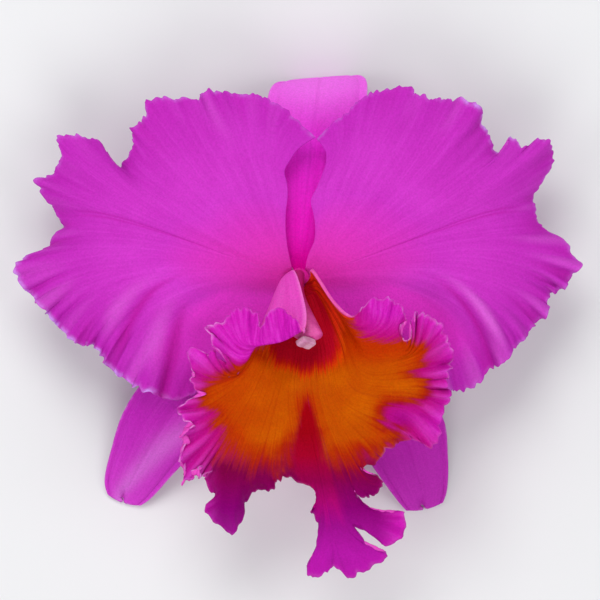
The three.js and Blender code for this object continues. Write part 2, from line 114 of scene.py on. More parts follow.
def curve_through(points):
    """A smooth curve through the points; call it with places from 0 to 1."""
    knots = np.asarray(points, float)
    knots = np.vstack([2 * knots[0] - knots[1], knots, 2 * knots[-1] - knots[-2]])
    last = len(points) - 1

    def at(places):
        along = np.clip(places, 0, 1) * last
        first = np.clip(np.floor(along).astype(int), 0, last - 1)
        return through(*(knots[first + k] for k in range(4)), (along - first)[..., None])

    return at


def keyed(values):
    """A smooth number that passes through the values at even places from 0 to 1."""
    curve = curve_through([[value] for value in values])
    return lambda places: curve(places)[..., 0]


def wander(knots):
    """A smooth random wave between -1 and 1 with that many knots from 0 to 1."""
    return keyed(chance.uniform(-1, 1, knots))


def evened(curve, width):
    """The curve without its waves, those shorter than about width."""
    count = 1000
    places = np.linspace(0, 1, count + 1)
    reach = int(3 * count * width)
    kernel = np.exp(-0.5 * (np.arange(-reach, reach + 1) / (count * width)) ** 2)
    padded = np.pad(curve(places), ((reach, reach), (0, 0)), mode="reflect", reflect_type="odd")
    even = [np.convolve(column, kernel / kernel.sum(), mode="valid") for column in padded.T]
    return lambda s: np.column_stack([np.interp(s, places, column) for column in even])


def step(low, high, x):
    """0 below low, 1 above high and smooth between."""
    w = np.clip((x - low) / (high - low), 0, 1)
    return w * w * (3 - 2 * w)


def plateau(low, full, fading, gone, x):
    """0 below low, 1 from full to fading, 0 above gone and smooth between."""
    return step(low, full, x) - step(fading, gone, x)


def calm_ends(s, reach):
    """0 at both ends of a margin and 1 from reach inwards."""
    return np.minimum(1, np.minimum(s, 1 - s) / reach)


def bump(x, middle, half_width):
    """A smooth hill of height 1."""
    return np.exp(-(((x - middle) / half_width) ** 2))


def curve_length(curve):
    """The length of a curve, in the unit of its points."""
    points = curve(np.linspace(0, 1, 2001))
    return float(np.linalg.norm(np.diff(points, axis=0), axis=1).sum())


# %% The seat that every segment grows from
RECEPTACLE = np.array([-0.3, -3.0])
SEAT_RADIUS = 2.95  # the claws are grown onto the receptacle


def seat_points(middle, half_span, height, s):
    """The arc round the receptacle on which a segment is seated."""
    angle = np.radians(middle + half_span * (1 - 2 * s))
    x = RECEPTACLE[0] + SEAT_RADIUS * np.cos(angle)
    y = RECEPTACLE[1] + SEAT_RADIUS * np.sin(angle)
    return np.stack([x, y, np.full_like(s, height)], axis=-1)


# %% [markdown]
# What makes tissue look like tissue is that its colour is never flat. It lies in water-filled cells, which
# sparkle at the size of a grain of sugar, and it is combed along the veins. So every skin below has three
# layers: a mottled colour in the bloom's own space, streaks that follow s and t, and a fine bump of cells.
# All of it is computed from places in millimetres, so it stays in scale from near and from far.

# %% A helper for nodes, and the layers that all the skins share
CELL = 1 / 1.8  # in mm, as all of these; real cells are a tenth of it, too fine to show
MARGIN_PATCH = 1 / 0.35  # how far the thin patches of a margin are apart
PETAL_CLOUD, GOLD_CLOUD = 1 / 0.06, 1 / 0.11  # the soft clouds of colour in a petal and in the lip's gold


def linear(colour):
    """An sRGB hex colour as the linear values that a shader works with."""
    channels = [int(colour[k : k + 2], 16) / 255 for k in (1, 3, 5)]
    return [c / 12.92 if c <= 0.04045 else ((c + 0.055) / 1.055) ** 2.4 for c in channels] + [1]


def add_node(tree, kind, inputs, stops=(), output=0, **settings):
    """Adds a node and gives one of its outputs.

    An input is a number, a hex colour or another node's output; stops are a ramp's places and colours.
    """
    made = tree.nodes.new("ShaderNode" + kind)
    for key, value in settings.items():
        setattr(made, key, value)
    for socket, value in inputs.items():
        if isinstance(value, bpy.types.NodeSocket):
            tree.links.new(value, made.inputs[socket])
        else:
            made.inputs[socket].default_value = linear(value) if isinstance(value, str) else value
    for k, (place, colour) in enumerate(stops):
        stop = made.color_ramp.elements[k] if k < 2 else made.color_ramp.elements.new(place)
        stop.position, stop.color = place, linear(colour)
    return made.outputs[output]


def lay_over(tree, colour, *layers):
    """Lays tints over a colour. A layer is a tint and its share: an output, or the name of a mark.

    Where low, high and most follow, its cover rises from 0 at a share of low to most at a share of high.
    """
    for tint, share, *limits in layers:
        if isinstance(share, str):
            share = add_node(tree, "Attribute", {}, output="Fac", attribute_name=share)
        if limits:
            low, high, most = limits
            share = add_node(tree, "MapRange", {0: share, 1: low, 2: high, 4: most})
        colour = add_node(tree, "MixRGB", {"Fac": share, "Color1": colour, "Color2": tint})
    return colour


def streaks_along_veins(tree, across, along):
    """Noise drawn out along the veins, finer towards the margin where the veins have branched."""
    tissue = add_node(tree, "TexCoord", {}, output="UV")
    layers = []
    for share in (0.3, 1):
        scale = (across * share, along * share, 1)
        drawn_out = add_node(tree, "Mapping", {"Vector": tissue, "Scale": scale})
        noise = {"Vector": drawn_out, "Scale": 1.0, "Detail": 3.0, "Roughness": 0.6}
        layers.append(add_node(tree, "TexNoise", noise))
    outwards = add_node(tree, "SeparateXYZ", {"Vector": tissue}, output="Y")
    return add_node(tree, "MixRGB", {"Fac": outwards, "Color1": layers[0], "Color2": layers[1]})


def patchy_rim(tree):
    """How pale the margin is: so thin in places that light comes through it."""
    place = add_node(tree, "TexCoord", {}, output="Object")
    patches = add_node(tree, "TexNoise", {"Vector": place, "Scale": 1 / (MARGIN_PATCH * MM), "Detail": 1.0})
    pale = add_node(tree, "MapRange", {0: patches, 1: 0.4, 2: 0.65, 3: 0.1, 4: 0.8})
    rim = add_node(tree, "Attribute", {}, output="Fac", attribute_name="rim")
    return add_node(tree, "Math", {0: rim, 1: pale}, operation="MULTIPLY", use_clamp=True)


def living_skin(name, paint, across=160.0, along=3.0, roughness=0.55, shine=0.04, glow=0.12):
    """A material of living tissue; paint(tree, streaks) gives its colour, across and along its streaks."""
    material = bpy.data.materials.new(name)
    material.use_nodes = True
    tree = material.node_tree
    streaks = streaks_along_veins(tree, across, along)
    place = add_node(tree, "TexCoord", {}, output="Object")
    grains = add_node(tree, "TexNoise", {"Vector": place, "Scale": 1 / (CELL * MM), "Detail": 2.0})
    height = add_node(tree, "Math", {0: streaks, 1: 0.12, 2: grains}, operation="MULTIPLY_ADD")
    sparkle = add_node(tree, "MapRange", {0: grains, 1: 0.3, 2: 0.7, 3: 0.92, 4: 1.08})
    colour = add_node(tree, "HueSaturation", {"Color": paint(tree, streaks), "Value": sparkle})
    skin = tree.nodes["Principled BSDF"].inputs
    tree.links.new(colour, skin["Base Color"])
    cells = {"Strength": 0.4, "Distance": 0.3 * MM, "Height": height}
    tree.links.new(add_node(tree, "Bump", cells), skin["Normal"])
    flesh = {"Subsurface Weight": glow, "Subsurface Radius": (1, 0.35, 0.8), "Subsurface Scale": 1.5 * MM}
    for socket, value in {"Roughness": roughness, "Specular IOR Level": shine, **flesh}.items():
        skin[socket].default_value = value
    return material


# %% [markdown]
# Petals and sepals share one paint. Its colour deepens towards the claw, its veins are a little darker than
# the tissue between them, the midrib is a dark line, and the margin is so thin that it looks paler. Painted
# highlights lighten the crests of folds, and the midrib's dark colour is painted in their valleys as shade.
# They have a dull bloom and no gloss, because their cells stand up like the pile of velvet.


# %% Petal and sepal tissue
def blade_paint(vein, body, pale, claw, outer, margin, midrib, crest):
    """The paint of a petal or a sepal, from its eight colours."""

    def paint(tree, streaks):
        place = add_node(tree, "TexCoord", {}, output="Object")
        clouds = add_node(tree, "TexNoise", {"Vector": place, "Scale": 1 / (PETAL_CLOUD * MM), "Detail": 3.0})
        tissue = add_node(tree, "TexCoord", {}, output="UV")
        along = add_node(tree, "SeparateXYZ", {"Vector": tissue}, output="Y")
        veined = add_node(tree, "ValToRGB", {"Fac": streaks}, [(0.3, vein), (0.5, body), (0.72, pale)])
        return lay_over(
            tree, veined, (pale, clouds, 0.42, 0.68, 0.45), (claw, along, 0.42, 0.05, 1),
            (UNDER_LIP_LIGHT_COLOUR, "sheltered"), (outer, along, 0.55, 1, 0.6), (margin, patchy_rim(tree)),
            (crest, "crest"), (midrib, "midrib"),
        )

    return paint


UNDER_LIP_LIGHT_COLOUR = "#f23cd6"  # painted light: the petal is painted paler where the lip's frills shade it
PETAL_COLOURS = ("#be2cb4", "#c632bc", "#d23eca", "#e034b2", "#b41cac", "#cc90ea", "#b40c94", "#ec7ae6")
PETAL_BACK_COLOURS = ("#bb34b0", "#c83cbe", "#d24cc8", "#cf6fb4", "#c034b4", "#d860d0", "#b430a6", "#e474dc")
# A sepal's outer colour is paler than its body: painted light, lighter towards the tip.
SEPAL_COLOURS = ("#b822ae", "#c228b8", "#ce3ac4", "#f000b0", "#d648ce", "#dc8cdc", "#a81498", "#e08ae4")
# The dorsal sepal's colours are brighter than the laterals' and its outer colour paler still: painted light
# on its top, which is turned back towards the light.
DORSAL_COLOURS = ("#e018c8", "#ea26d6", "#f038e4", "#f000b0", "#fc74f8", "#f4a8f0", "#b41ca4", "#ff7cf6")
SEPAL_BACK_COLOURS = ("#ab45a0", "#c05cb4", "#cc78c4", "#b06c9c", "#c05cb4", "#d590ce", "#a04c94", "#d890d4")
petal_face = living_skin("petal tissue", blade_paint(*PETAL_COLOURS))
petal_back = living_skin("petal tissue, outside", blade_paint(*PETAL_BACK_COLOURS))
sepal_face = living_skin("sepal tissue", blade_paint(*SEPAL_COLOURS), across=60.0)
dorsal_face = living_skin("dorsal sepal tissue", blade_paint(*DORSAL_COLOURS), across=60.0)
sepal_back = living_skin("sepal tissue, outside", blade_paint(*SEPAL_BACK_COLOURS), across=60.0)


# %% [markdown]
# The lip wears what leads the insect in: a golden field with a jagged edge on the magenta skirt, and in the
# throat a crimson stain from which dark veins run out over the gold. Its marks tell how far inside the field
# and the stain each point is, and the streaks make both edges run out along the veins. Light passes into this
# tissue deeper than into a petal's, so it glows and hardly shines.


# %% Lip tissue
SKIRT = [(0.3, "#b20e9c"), (0.5, "#cc1cb2"), (0.7, "#d838c4")]
# The lower lobes are darkest just below the gold and lighter towards their tips: partly their own colour,
# partly painted shade where the lip curves down and back.
LOWER_LOBES = [(0.15, "#740030"), (0.3, "#80004c"), (0.5, "#88006e"), (0.85, "#b618a6")]
GOLDEN = [(0, "#98044c"), (0.25, "#9c0820"), (0.5, "#ac2404"), (0.75, "#b84000"), (1, "#bc4e00")]
REDS = [(0.1, "#cc5400"), (0.4, "#d03804"), (0.65, "#c01810"), (0.95, "#b80a26")]
NECK = [
    (0, "#9c000c"), (0.2, "#980012"), (0.4, "#a00026"), (0.64, "#90004a"), (0.8, "#a60468"), (1, "#bc0a8a"),
]
OUTSIDE = [(0.3, "#de40b4"), (0.5, "#e84cc0"), (0.72, "#f060cc")]


def lip_paint(tree, streaks):
    """The lip's face: its skirt, then the gold, the stain and the veins round it, the keel and the margin."""
    gold, stain, keel, neck, fall = (
        add_node(tree, "Attribute", {}, output="Fac", attribute_name=mark)
        for mark in ("gold", "stain", "keel", "neck", "fall")
    )
    ragged = add_node(tree, "MapRange", {0: streaks, 1: 0.3, 2: 0.7, 3: -1.2, 4: 1.2})
    broad = streaks_along_veins(tree, 80.0, 2.0)
    tongues = add_node(tree, "MapRange", {0: broad, 1: 0.36, 2: 0.64, 3: -1.0})
    veins = add_node(tree, "MapRange", {0: streaks, 1: 0.5, 2: 0.3, 4: 0.6})

    place = add_node(tree, "TexCoord", {}, output="Object")
    clouds = add_node(tree, "TexNoise", {"Vector": place, "Scale": 1 / (GOLD_CLOUD * MM), "Detail": 3.0})
    depth = add_node(tree, "Math", {0: gold, 1: ragged}, operation="ADD")
    depth = add_node(tree, "Math", {0: tongues, 1: 0.9, 2: depth}, operation="MULTIPLY_ADD")
    inside = add_node(tree, "MapRange", {0: depth, 1: -2.0, 2: 4.0})
    sunny = add_node(tree, "MapRange", {0: clouds, 1: 0.45, 2: 0.7, 4: 0.8})
    sunny = add_node(tree, "Math", {0: sunny, 1: inside}, operation="MULTIPLY")
    golden = add_node(tree, "ValToRGB", {"Fac": inside}, GOLDEN)
    golden = lay_over(tree, golden, ("#ca6000", sunny), ("#b83000", "flush"), ("#a82c00", veins))

    stained = add_node(tree, "Math", {0: ragged, 1: 1.2, 2: stain}, operation="MULTIPLY_ADD")
    stained = add_node(tree, "Math", {0: tongues, 1: 1.8, 2: stained}, operation="MULTIPLY_ADD")
    stained = add_node(tree, "MapRange", {0: stained, 1: -4.0, 2: 1.0})
    # the right lobe's inner face: its own red-orange, painted brighter as light where the throat shades it
    red = lay_over(tree, add_node(tree, "ValToRGB", {"Fac": stained}, REDS), ("#ff3c1c", "lobe"))
    around = add_node(tree, "MapRange", {0: stain, 1: -5.0, 2: -1.0, 4: 2.0})
    fringe = add_node(tree, "Math", {0: around, 1: veins}, operation="MULTIPLY", use_clamp=True)
    keel = add_node(tree, "Math", {0: tongues, 1: 0.25, 2: keel}, operation="MULTIPLY_ADD")
    return lay_over(
        tree, add_node(tree, "ValToRGB", {"Fac": streaks}, SKIRT),
        # painted highlights on the crests of the curls, painted shade in their valleys and in a fold beside
        # the gold
        ("#b0045c", gold, -8, -1, 0.85), ("#e054d4", "crest"), ("#a0047c", "valley"),
        (add_node(tree, "ValToRGB", {"Fac": fall}, LOWER_LOBES), "low"),
        (golden, inside, 0, 0.35, 1), (red, stained, 0, 0.3, 1), ("#94000c", fringe),
        (add_node(tree, "ValToRGB", {"Fac": neck}, NECK), keel, 0.15, 0.7, 1),
        ("#e884d8", patchy_rim(tree)), ("#ee5cb0", "free_edge"),
    )


def lip_back_paint(tree, streaks):
    """The lip's outside, which shows where the hem is turned back, painted darker as shade near the notch
    beside the left lobe.
    """
    outside = add_node(tree, "ValToRGB", {"Fac": streaks}, OUTSIDE)
    return lay_over(tree, outside, ("#f470cc", "free_edge"), ("#b0304c", "pit"))


lip_face = living_skin("lip tissue", lip_paint, across=220.0, along=4.0, shine=0.02, glow=0.3)
lip_back = living_skin("lip tissue, outside", lip_back_paint, across=220.0, along=4.0)


# %% [markdown]
# The small organs have a smooth skin, so they are glossier than the blades. The column is waxy and shines
# most, the cap is paler, the pollen is real wax, and the stalk's green skin is flushed near the bloom.


# %% Column, cap, pollen and stalk
def mottled(pale, deep, size):
    """The paint of a compact organ: two colours in soft clouds of that size."""

    def paint(tree, streaks):
        place = add_node(tree, "TexCoord", {}, output="Object")
        clouds = add_node(tree, "TexNoise", {"Vector": place, "Scale": 1 / (size * MM), "Detail": 4.0})
        return add_node(tree, "ValToRGB", {"Fac": clouds}, [(0.35, deep), (0.65, pale)])

    return paint


def column_paint(tree, streaks):
    """Pale at the end that the light reaches, deep magenta at the base."""
    place = add_node(tree, "TexCoord", {}, output="Object")
    towards_base = add_node(tree, "SeparateXYZ", {"Vector": place}, output="Y")
    pale = mottled("#ea60b0", "#c83c8c", 1 / 0.3)(tree, streaks)
    return lay_over(tree, pale, ("#b4186c", towards_base, 1 * MM, 12 * MM, 1))


def stalk_paint(tree, streaks):
    """Green, flushed with magenta near the bloom, and pale where it was cut."""
    place = add_node(tree, "TexCoord", {}, output="Object")
    height = add_node(tree, "SeparateXYZ", {"Vector": place}, output="Z")
    green = mottled("#a9b878", "#8a9c58", 5)(tree, streaks)
    return lay_over(tree, green, ("#d81c94", height, 15 * MM, 22 * MM, 1), ("#e6e8c4", "cut"))


column_skin = living_skin("column tissue", column_paint, roughness=0.35, shine=0.2)
cap_skin = living_skin("anther cap tissue", mottled("#e6b4cc", "#cc84ac", 1 / 0.35), roughness=0.35)
pollen_wax = living_skin("pollen wax", mottled("#e8c85a", "#d0a436", 1 / 0.9), roughness=0.3)
stalk_skin = living_skin("stalk tissue", stalk_paint, roughness=0.4)


# %% [markdown]
# Each blade gets its thickness from a Solidify modifier, driven by a vertex group: fleshy near the seat and
# thin at the margin. The modifier copies the sheet to both sides and closes the rim between them, which is
# how a real blade is built: two skins with a little flesh between. Its back skin takes the next material
# slot, because the outside of a segment is paler than its face.


# %% From a flat grid to a blade
def mode(name):
    """Goes to edit or object mode."""
    bpy.ops.object.mode_set(mode=name)


def pick(*pieces):
    """Selects these pieces alone, and makes the first one active."""
    bpy.ops.object.select_all(action="DESELECT")
    for piece in pieces:
        piece.select_set(True)
    if pieces:
        bpy.context.view_layer.objects.active = pieces[0]


def apply_modifier(piece, kind, **settings):
    """Adds a modifier with its settings and applies it."""
    modifier = piece.modifiers.new(kind, kind)
    for key, value in settings.items():
        setattr(modifier, key, value)
    bpy.ops.object.modifier_apply(modifier=modifier.name)


def tapered(thickness, t):
    """Fleshier than that thickness at the seat and thinner at the margin."""
    return thickness * (1.35 - 0.5 * t)


def blade(name, grid, surface, flesh, marks, skins, crowding=1.0, flip=False, gather=None):
    """A grid of columns and rows laid on surface(s, t) and made flesh(s, t) mm thick.

    marks(s, t, places) gives named numbers for the materials to paint by. Crowding packs the rows at the
    margin, and gather(s) moves the columns closer together where the form is finest.
    """
    pick()
    bpy.ops.mesh.primitive_grid_add(x_subdivisions=grid[0], y_subdivisions=grid[1], size=1)
    piece = bpy.context.object
    piece.name = name
    if flip:  # where s runs clockwise round the face, the grid's front would face away
        mode("EDIT")
        bpy.ops.mesh.flip_normals()
        mode("OBJECT")

    mesh = piece.data
    flat = np.empty(len(mesh.vertices) * 3)
    mesh.vertices.foreach_get("co", flat)
    s, t = np.clip(flat.reshape(-1, 3)[:, :2].T + 0.5, 0, 1)
    t = 1 - (1 - t) ** crowding
    s = s if gather is None else gather(s)
    places = surface(s, t)
    mesh.vertices.foreach_set("co", ((places + HEART) * MM).ravel())
    for mark, values in marks(s, t, places).items():
        mesh.attributes.new(mark, "FLOAT", "POINT").data.foreach_set("value", values)
    corners = np.empty(len(mesh.loops), int)
    mesh.loops.foreach_get("vertex_index", corners)
    mesh.uv_layers.active.data.foreach_set("uv", np.column_stack([s, t])[corners].ravel())

    for skin in skins:
        mesh.materials.append(skin)
    depth = flesh(s, t)
    group = piece.vertex_groups.new(name="flesh")
    for index, share in enumerate(depth / depth.max()):
        group.add([index], share, "REPLACE")
    two_skins = {"offset": 0, "vertex_group": "flesh", "material_offset": 1}
    apply_modifier(piece, "SOLIDIFY", thickness=depth.max() * MM, **two_skins)
    bpy.ops.object.shade_smooth()
    print(name, len(mesh.polygons), "faces, at most", round(depth.max(), 2), "mm thick")
    return piece


# %% [markdown]
# The two petals are the widest blades of the bloom: broad fans whose veins leave a narrow claw beside the
# column, arch forward and then fall back to a margin that is cut by notches and thrown into ruffles. Every
# vein is a quadratic curve from its place on the seat, past the arch, to its place on the margin. The margin
# runs from the top of the gap over the heart, round the tip, to the edge hidden behind the lip.

# %% Outlines of the petals
# A pleat is told by its place along the margin, its height and its half width, and a soft fold behind the
# margin also by where along the veins it starts. The gap is how far the petal's inner edge stands off its
# vein, from the heart up. The margin is pleated between two places and palest between two, and light is
# painted on it where the lip's frills shade it, rising from one place to its full strength at the next.
PETALS = {
    "left_petal": {
        "piece": "petal_left",
        "seat_middle": 172,
        "margin": [
            [4.6, 38.2], [-2, 44.5], [-8, 48.8], [-14, 50.8], [-21, 51.4], [-27, 52.2],
            [-30, 49.8], [-37, 50], [-45, 49.4], [-45.7, 44.5], [-49.8, 41], [-49.2, 36.5],
            [-51.8, 31.5], [-53.6, 29.4], [-56, 32], [-58.5, 36.4], [-65, 39], [-71.6, 38.6],
            [-70.2, 33], [-72.8, 28.2], [-77.8, 25.6], [-74.2, 19.5], [-70.8, 13.5], [-72.5, 9],
            [-78, 4.8], [-84, 0.8], [-81, -6], [-76, -11], [-71.8, -16.5], [-66, -22.4],
            [-60.5, -23.6], [-57, -29], [-51, -33.3], [-44, -37.2], [-36.4, -39.3],
            [-29, -36], [-21, -31], [-11, -22],
        ],
        "margin_depth": [6, 4, 2, -1, -4, -6, -8, -8, -6, -3, -2],
        "arch": [
            [-8.5, 23, 6], [-11, 25, 8], [-27, 25, 9], [-38, 20, 9], [-46, 17.5, 9],
            [-50, 16, 8.5], [-50, 14.5, 8], [-55, 10, 8], [-50, 3, 8], [-34, -4, 4], [-6, -8.5, -2],
        ],
        "pleats": [
            [5, 2.2, 0.9], [8.5, 1.6, 1.2], [13, -2, 1.4], [16.5, 1.8, 1.6], [22, -1.8, 1.6],
            [25, 1.5, 0.8], [33.2, 3.4, 0.9], [34.8, -2.2, 1],
        ],
        "pleated": [26, 32],
        "palest": [25, 33],
        "sheltered": [32.1, 33.3],
        "gap": [0, 0, 0, 0, 0, 0, -1, -3, -2.9, -2.4, 0],
        "folds": [
            [5.4, 0.8, 0.5, 0.6], [9.6, -0.7, 0.8, 0.6], [25, 0.9, 0.35, 0.7], [26, 0.9, 0.3, 0.68],
            [27, 0.9, 0.3, 0.66], [27.8, 0.8, 0.25, 0.66], [28.5, 0.7, 0.25, 0.64], [30.1, 1.1, 0.6, 0.3],
            [31.15, -1.9, 0.36, 0.2], [32.7, 1.2, 0.6, 0.35], [33.6, -2.2, 0.4, 0.35], [35.2, 0.8, 0.5, 0.6],
        ],
    },
    "right_petal": {
        "piece": "petal_right",
        "seat_middle": 12,
        "margin": [
            [4.9, 37.8], [9.5, 42.6], [14.2, 46], [18.6, 50], [24, 52.4], [31, 53],
            [35, 50.8], [40, 49.7], [45.5, 49], [51.8, 48.6], [54.5, 43], [56, 37],
            [58.8, 33], [60.9, 35.5], [61.9, 38.4], [65.5, 35.6], [70, 37.7], [73.4, 37.2],
            [74.8, 32], [71.6, 26.3], [68.9, 20], [70.2, 14.7], [74, 10.6], [81.8, 1.9],
            [78.4, -5.5], [73.6, -8], [71.8, -15], [66.2, -20.3], [62.3, -25.3],
            [57, -29.8], [53, -33.2], [47, -36.2], [42, -34.8], [35, -33], [25, -28],
            [14, -20],
        ],
        "margin_depth": [3.5, 3, 2, 0, -3, -6, -8, -8, -6, -3, -2],
        "arch": [
            [6.3, 21, 5], [13.5, 26, 8], [30, 25, 9], [41, 20.5, 9], [47, 17.5, 9],
            [51, 16, 8.5], [50, 14, 8], [55, 9, 8], [48, 3, 8], [36, -3, 4], [7, -8.5, -2],
        ],
        "pleats": [
            [3, 1.6, 0.9], [5.2, 1.2, 0.8], [9.2, 2.6, 0.9], [10.8, -2.6, 0.8], [14, 1.2, 1],
            [16.5, 2, 1], [18.8, -1.6, 1.2], [23, 1.5, 0.8], [28.3, 3, 0.9], [29.9, -1.8, 0.9],
        ],
        "pleated": [23.5, 27],
        "palest": [9, 14],
        "sheltered": [28.8, 30.2],
        "gap": [0, 0, 1, 0.7, -0.3, -1.5, 0, 1.3, 2.4, 2.3, 0],
        "folds": [
            [8.3, 1.0, 0.3, 0.7], [9.9, -1.2, 0.3, 0.68], [22.6, 0.9, 0.4, 0.6], [24.4, -0.8, 0.3, 0.7],
            [25.4, 0.9, 0.3, 0.7], [26.4, -0.9, 0.3, 0.66], [28.2, 2.2, 0.34, 0.35],
            [28.95, -1.9, 0.28, 0.3], [30.9, -0.8, 0.6, 0.4],
        ],
    },
}


# %% The surface of a petal
PETAL_TIER, PETAL_SEAT_HALF_SPAN = -1.6, 40
PETAL_FLUTE, FLUTES = 1.1, 1.6  # height, and how many to each point of the margin
PETAL_RUFFLE, PETAL_RUFFLES = 0.7, 17
PETAL_CALM = 1 / 6
MARGIN_EVENED = 0.045
GAP_SHARE = 0.06


def petal_surface(petal):
    """The middle layer of a petal: the frame's solid, with its waves kept closer to the margin."""
    margin, arch = curve_through(petal["margin"]), curve_through(petal["arch"])
    calm_margin = evened(margin, MARGIN_EVENED)
    depth, gap = keyed(petal["margin_depth"]), keyed(petal["gap"])
    last = len(petal["margin"]) - 1
    turn = 1 if petal["seat_middle"] > 90 else -1

    def surface(s, t):
        seat = seat_points(petal["seat_middle"], -turn * PETAL_SEAT_HALF_SPAN, PETAL_TIER, s)
        rim = np.column_stack([calm_margin(s), depth(s)])
        w = t[:, None]
        p = (1 - w) ** 2 * seat + 2 * w * (1 - w) * arch(s) + w**2 * rim
        p[:, :2] += w**6 * (margin(s) - calm_margin(s))
        place = s * last
        calm = calm_ends(s, PETAL_CALM)
        for at, height, half_width in petal["pleats"]:
            p[:, 2] += calm * height * t**5 * bump(place, at, half_width)
        start, end = petal["pleated"]
        fluted = plateau(start - 1, start, end, end + 1, place)
        p[:, 2] += fluted * PETAL_FLUTE * t**8 * np.sin(2 * np.pi * FLUTES * place)
        p[:, 2] += calm * PETAL_RUFFLE * t**8 * np.sin(2 * np.pi * PETAL_RUFFLES * s)
        p[:, 0] += gap(t) * bump(s, 0, GAP_SHARE)
        return p

    return surface


# %% [markdown]
# The frame's solids hold the large forms only. The living blade adds three finer ones: long shallow furrows
# between the veins, a channel along the midrib, and a margin that flutters and ends in small round teeth.
# They are added along the surface's own normal, so that they work on a steep frill as well as on a flat one.


# %% Finer relief on any surface
NUDGE = 1e-3


def textured(surface, relief, teeth, facing=1, lean=None):
    """The surface raised by relief(s, t) towards its face and drawn out along its veins by teeth(s, t).

    facing is -1 where s runs clockwise round the face; lean(s, t) shifts it across its veins.
    """

    def finer(s, t):
        p = surface(s, t)
        across = surface(np.minimum(s + NUDGE, 1), t) - surface(np.maximum(s - NUDGE, 0), t)
        along = surface(s, np.minimum(t + NUDGE, 1)) - surface(s, np.maximum(t - NUDGE, 0))
        normal = facing * np.cross(across, along)
        for heading in (normal, along, across):
            heading /= np.linalg.norm(heading, axis=1, keepdims=True)
        p += relief(s, t)[:, None] * normal + teeth(s, t)[:, None] * along
        return p if lean is None else p + lean(s, t)[:, None] * across

    return finer


def margin_waves(length, pitch):
    """Random waves of that pitch along a margin of that length, calm at its two ends."""
    wave = wander(int(length / pitch) + 2)
    return lambda s: wave(s) * calm_ends(s, 0.04)


# %% The two petals
PETAL_THICKNESS = 0.8
TOOTH_PITCH, NICK_PITCH, RUFFLE_PITCH, FLUTTER_PITCH = 1.0, 0.6, 2.7, 1.2  # mm along the margin
TOOTH, NICK, JAG = 0.6, 0.25, 0.8  # how far they stand out
RUFFLE_HEIGHT, FLUTTER_HEIGHT, FURROW_DEPTH, SWELL_HEIGHT = 0.9, 0.3, 0.012, 0.22
CHANNEL_DEPTH, CHANNEL_LIP = 0.14, 0.1  # along the midrib
MIDRIB = 0.592  # the place of the midrib among the veins, at the seat and at the tip
MIDRIB_BOW = 0.03  # it bows towards the upper margin between them
FOLD_BEND = 6


def midrib_place(t):
    """The midrib's place among the veins."""
    return MIDRIB - MIDRIB_BOW * np.sin(np.pi * t)


def folds_of(petal, s, t):
    """For each fold: how far each place is from it, its height, its half width and its start.

    Every fold bends away from the lip towards the heart.
    """
    place = s * (len(petal["margin"]) - 1) + FOLD_BEND * (1 - t) ** 2
    return [(place - at, *form) for at, *form in petal["folds"]]


def lively(s):
    """How strongly the margin ruffles: least along the top, most below the tip."""
    return 0.5 + 0.5 * step(0.5, 0.66, s)


def petal_relief(petal, ruffle, length):
    """Ruffles, furrows, folds and swells, and the channel along the midrib."""
    flutter = margin_waves(length, FLUTTER_PITCH)
    furrows, swells = wander(90), [wander(9) for _ in range(3)]

    def relief(s, t):
        height = RUFFLE_HEIGHT * ruffle(s) * step(0.78, 1, t) ** 2
        height += FLUTTER_HEIGHT * flutter(s) * step(0.92, 1, t)
        height *= lively(s)
        height += FURROW_DEPTH * furrows(s) * step(0.15, 0.6, t)
        for beside, high, half_width, start in folds_of(petal, s, t):
            height += high * bump(beside, 0, half_width) * step(start, 1, t) ** 1.5
        for k, swell in enumerate(swells):
            height += SWELL_HEIGHT * swell(s) * np.sin(np.pi * t * (k + 1)) * step(0, 0.4, t)
        beside = np.abs(s - midrib_place(t)) / (0.005 + 0.012 * (1 - t))
        channel = CHANNEL_DEPTH * bump(beside, 0, 0.8) - CHANNEL_LIP * bump(beside, 2, 1.2)
        return height - channel * plateau(0.02, 0.2, 0.8, 1, t)

    return relief


def petal_flesh(s, t):
    """Fleshy at the claw, thin at the margin and thinnest at its very edge."""
    return tapered(PETAL_THICKNESS, t) * (1 - 0.5 * step(0.9, 1, t))


def petal_marks(petal, ruffle):
    """The marks of a petal.

    Painted highlights lighten the crests of its folds and ruffles, and painted shade darkens their valleys
    and the claw beside the lip. Painted light lightens it where the lip's frills shade it.
    """

    def marks(s, t, places):
        place = s * (len(petal["margin"]) - 1)
        # painted highlight on the crests of folds and ruffles, painted shade in their valleys
        folded = 0.9 * (lively(s) - 0.35) * ruffle(s) * step(0.74, 0.97, t)
        for beside, high, half_width, begin in folds_of(petal, s, t):
            near = bump(beside, 0, 0.8 * half_width) * step(begin + 0.05, begin + 0.45, t)
            folded += 0.6 * high * near * (1 - 0.5 * step(0.8, 1, t))
        midrib = bump(np.abs(s - midrib_place(t)) / (0.0035 + 0.008 * (1 - t)), 1, 0.6)
        midrib *= 0.4 * plateau(0.02, 0.2, 0.7, 0.95, t)
        # painted shade on the claw beside the lip
        claw = 0.2 * step(0.55, 0.75, s) * (1 - step(0.1, 0.3, t))
        start, end = petal["palest"]
        palest = plateau(start - 1, start, end, end + 1, place)
        return {
            "midrib": np.maximum(midrib, np.clip(-0.6 * folded, 0, 0.6)) + claw,
            "crest": np.clip(0.4 * folded, 0, 0.45),
            # painted light where the lip's frills shade the petal
            "sheltered": 0.6 * step(*petal["sheltered"], place) * plateau(0.2, 0.4, 0.8, 0.95, t),
            "rim": (0.4 + 1.1 * palest) * step(0.965, 1, t) ** 2,
        }

    return marks


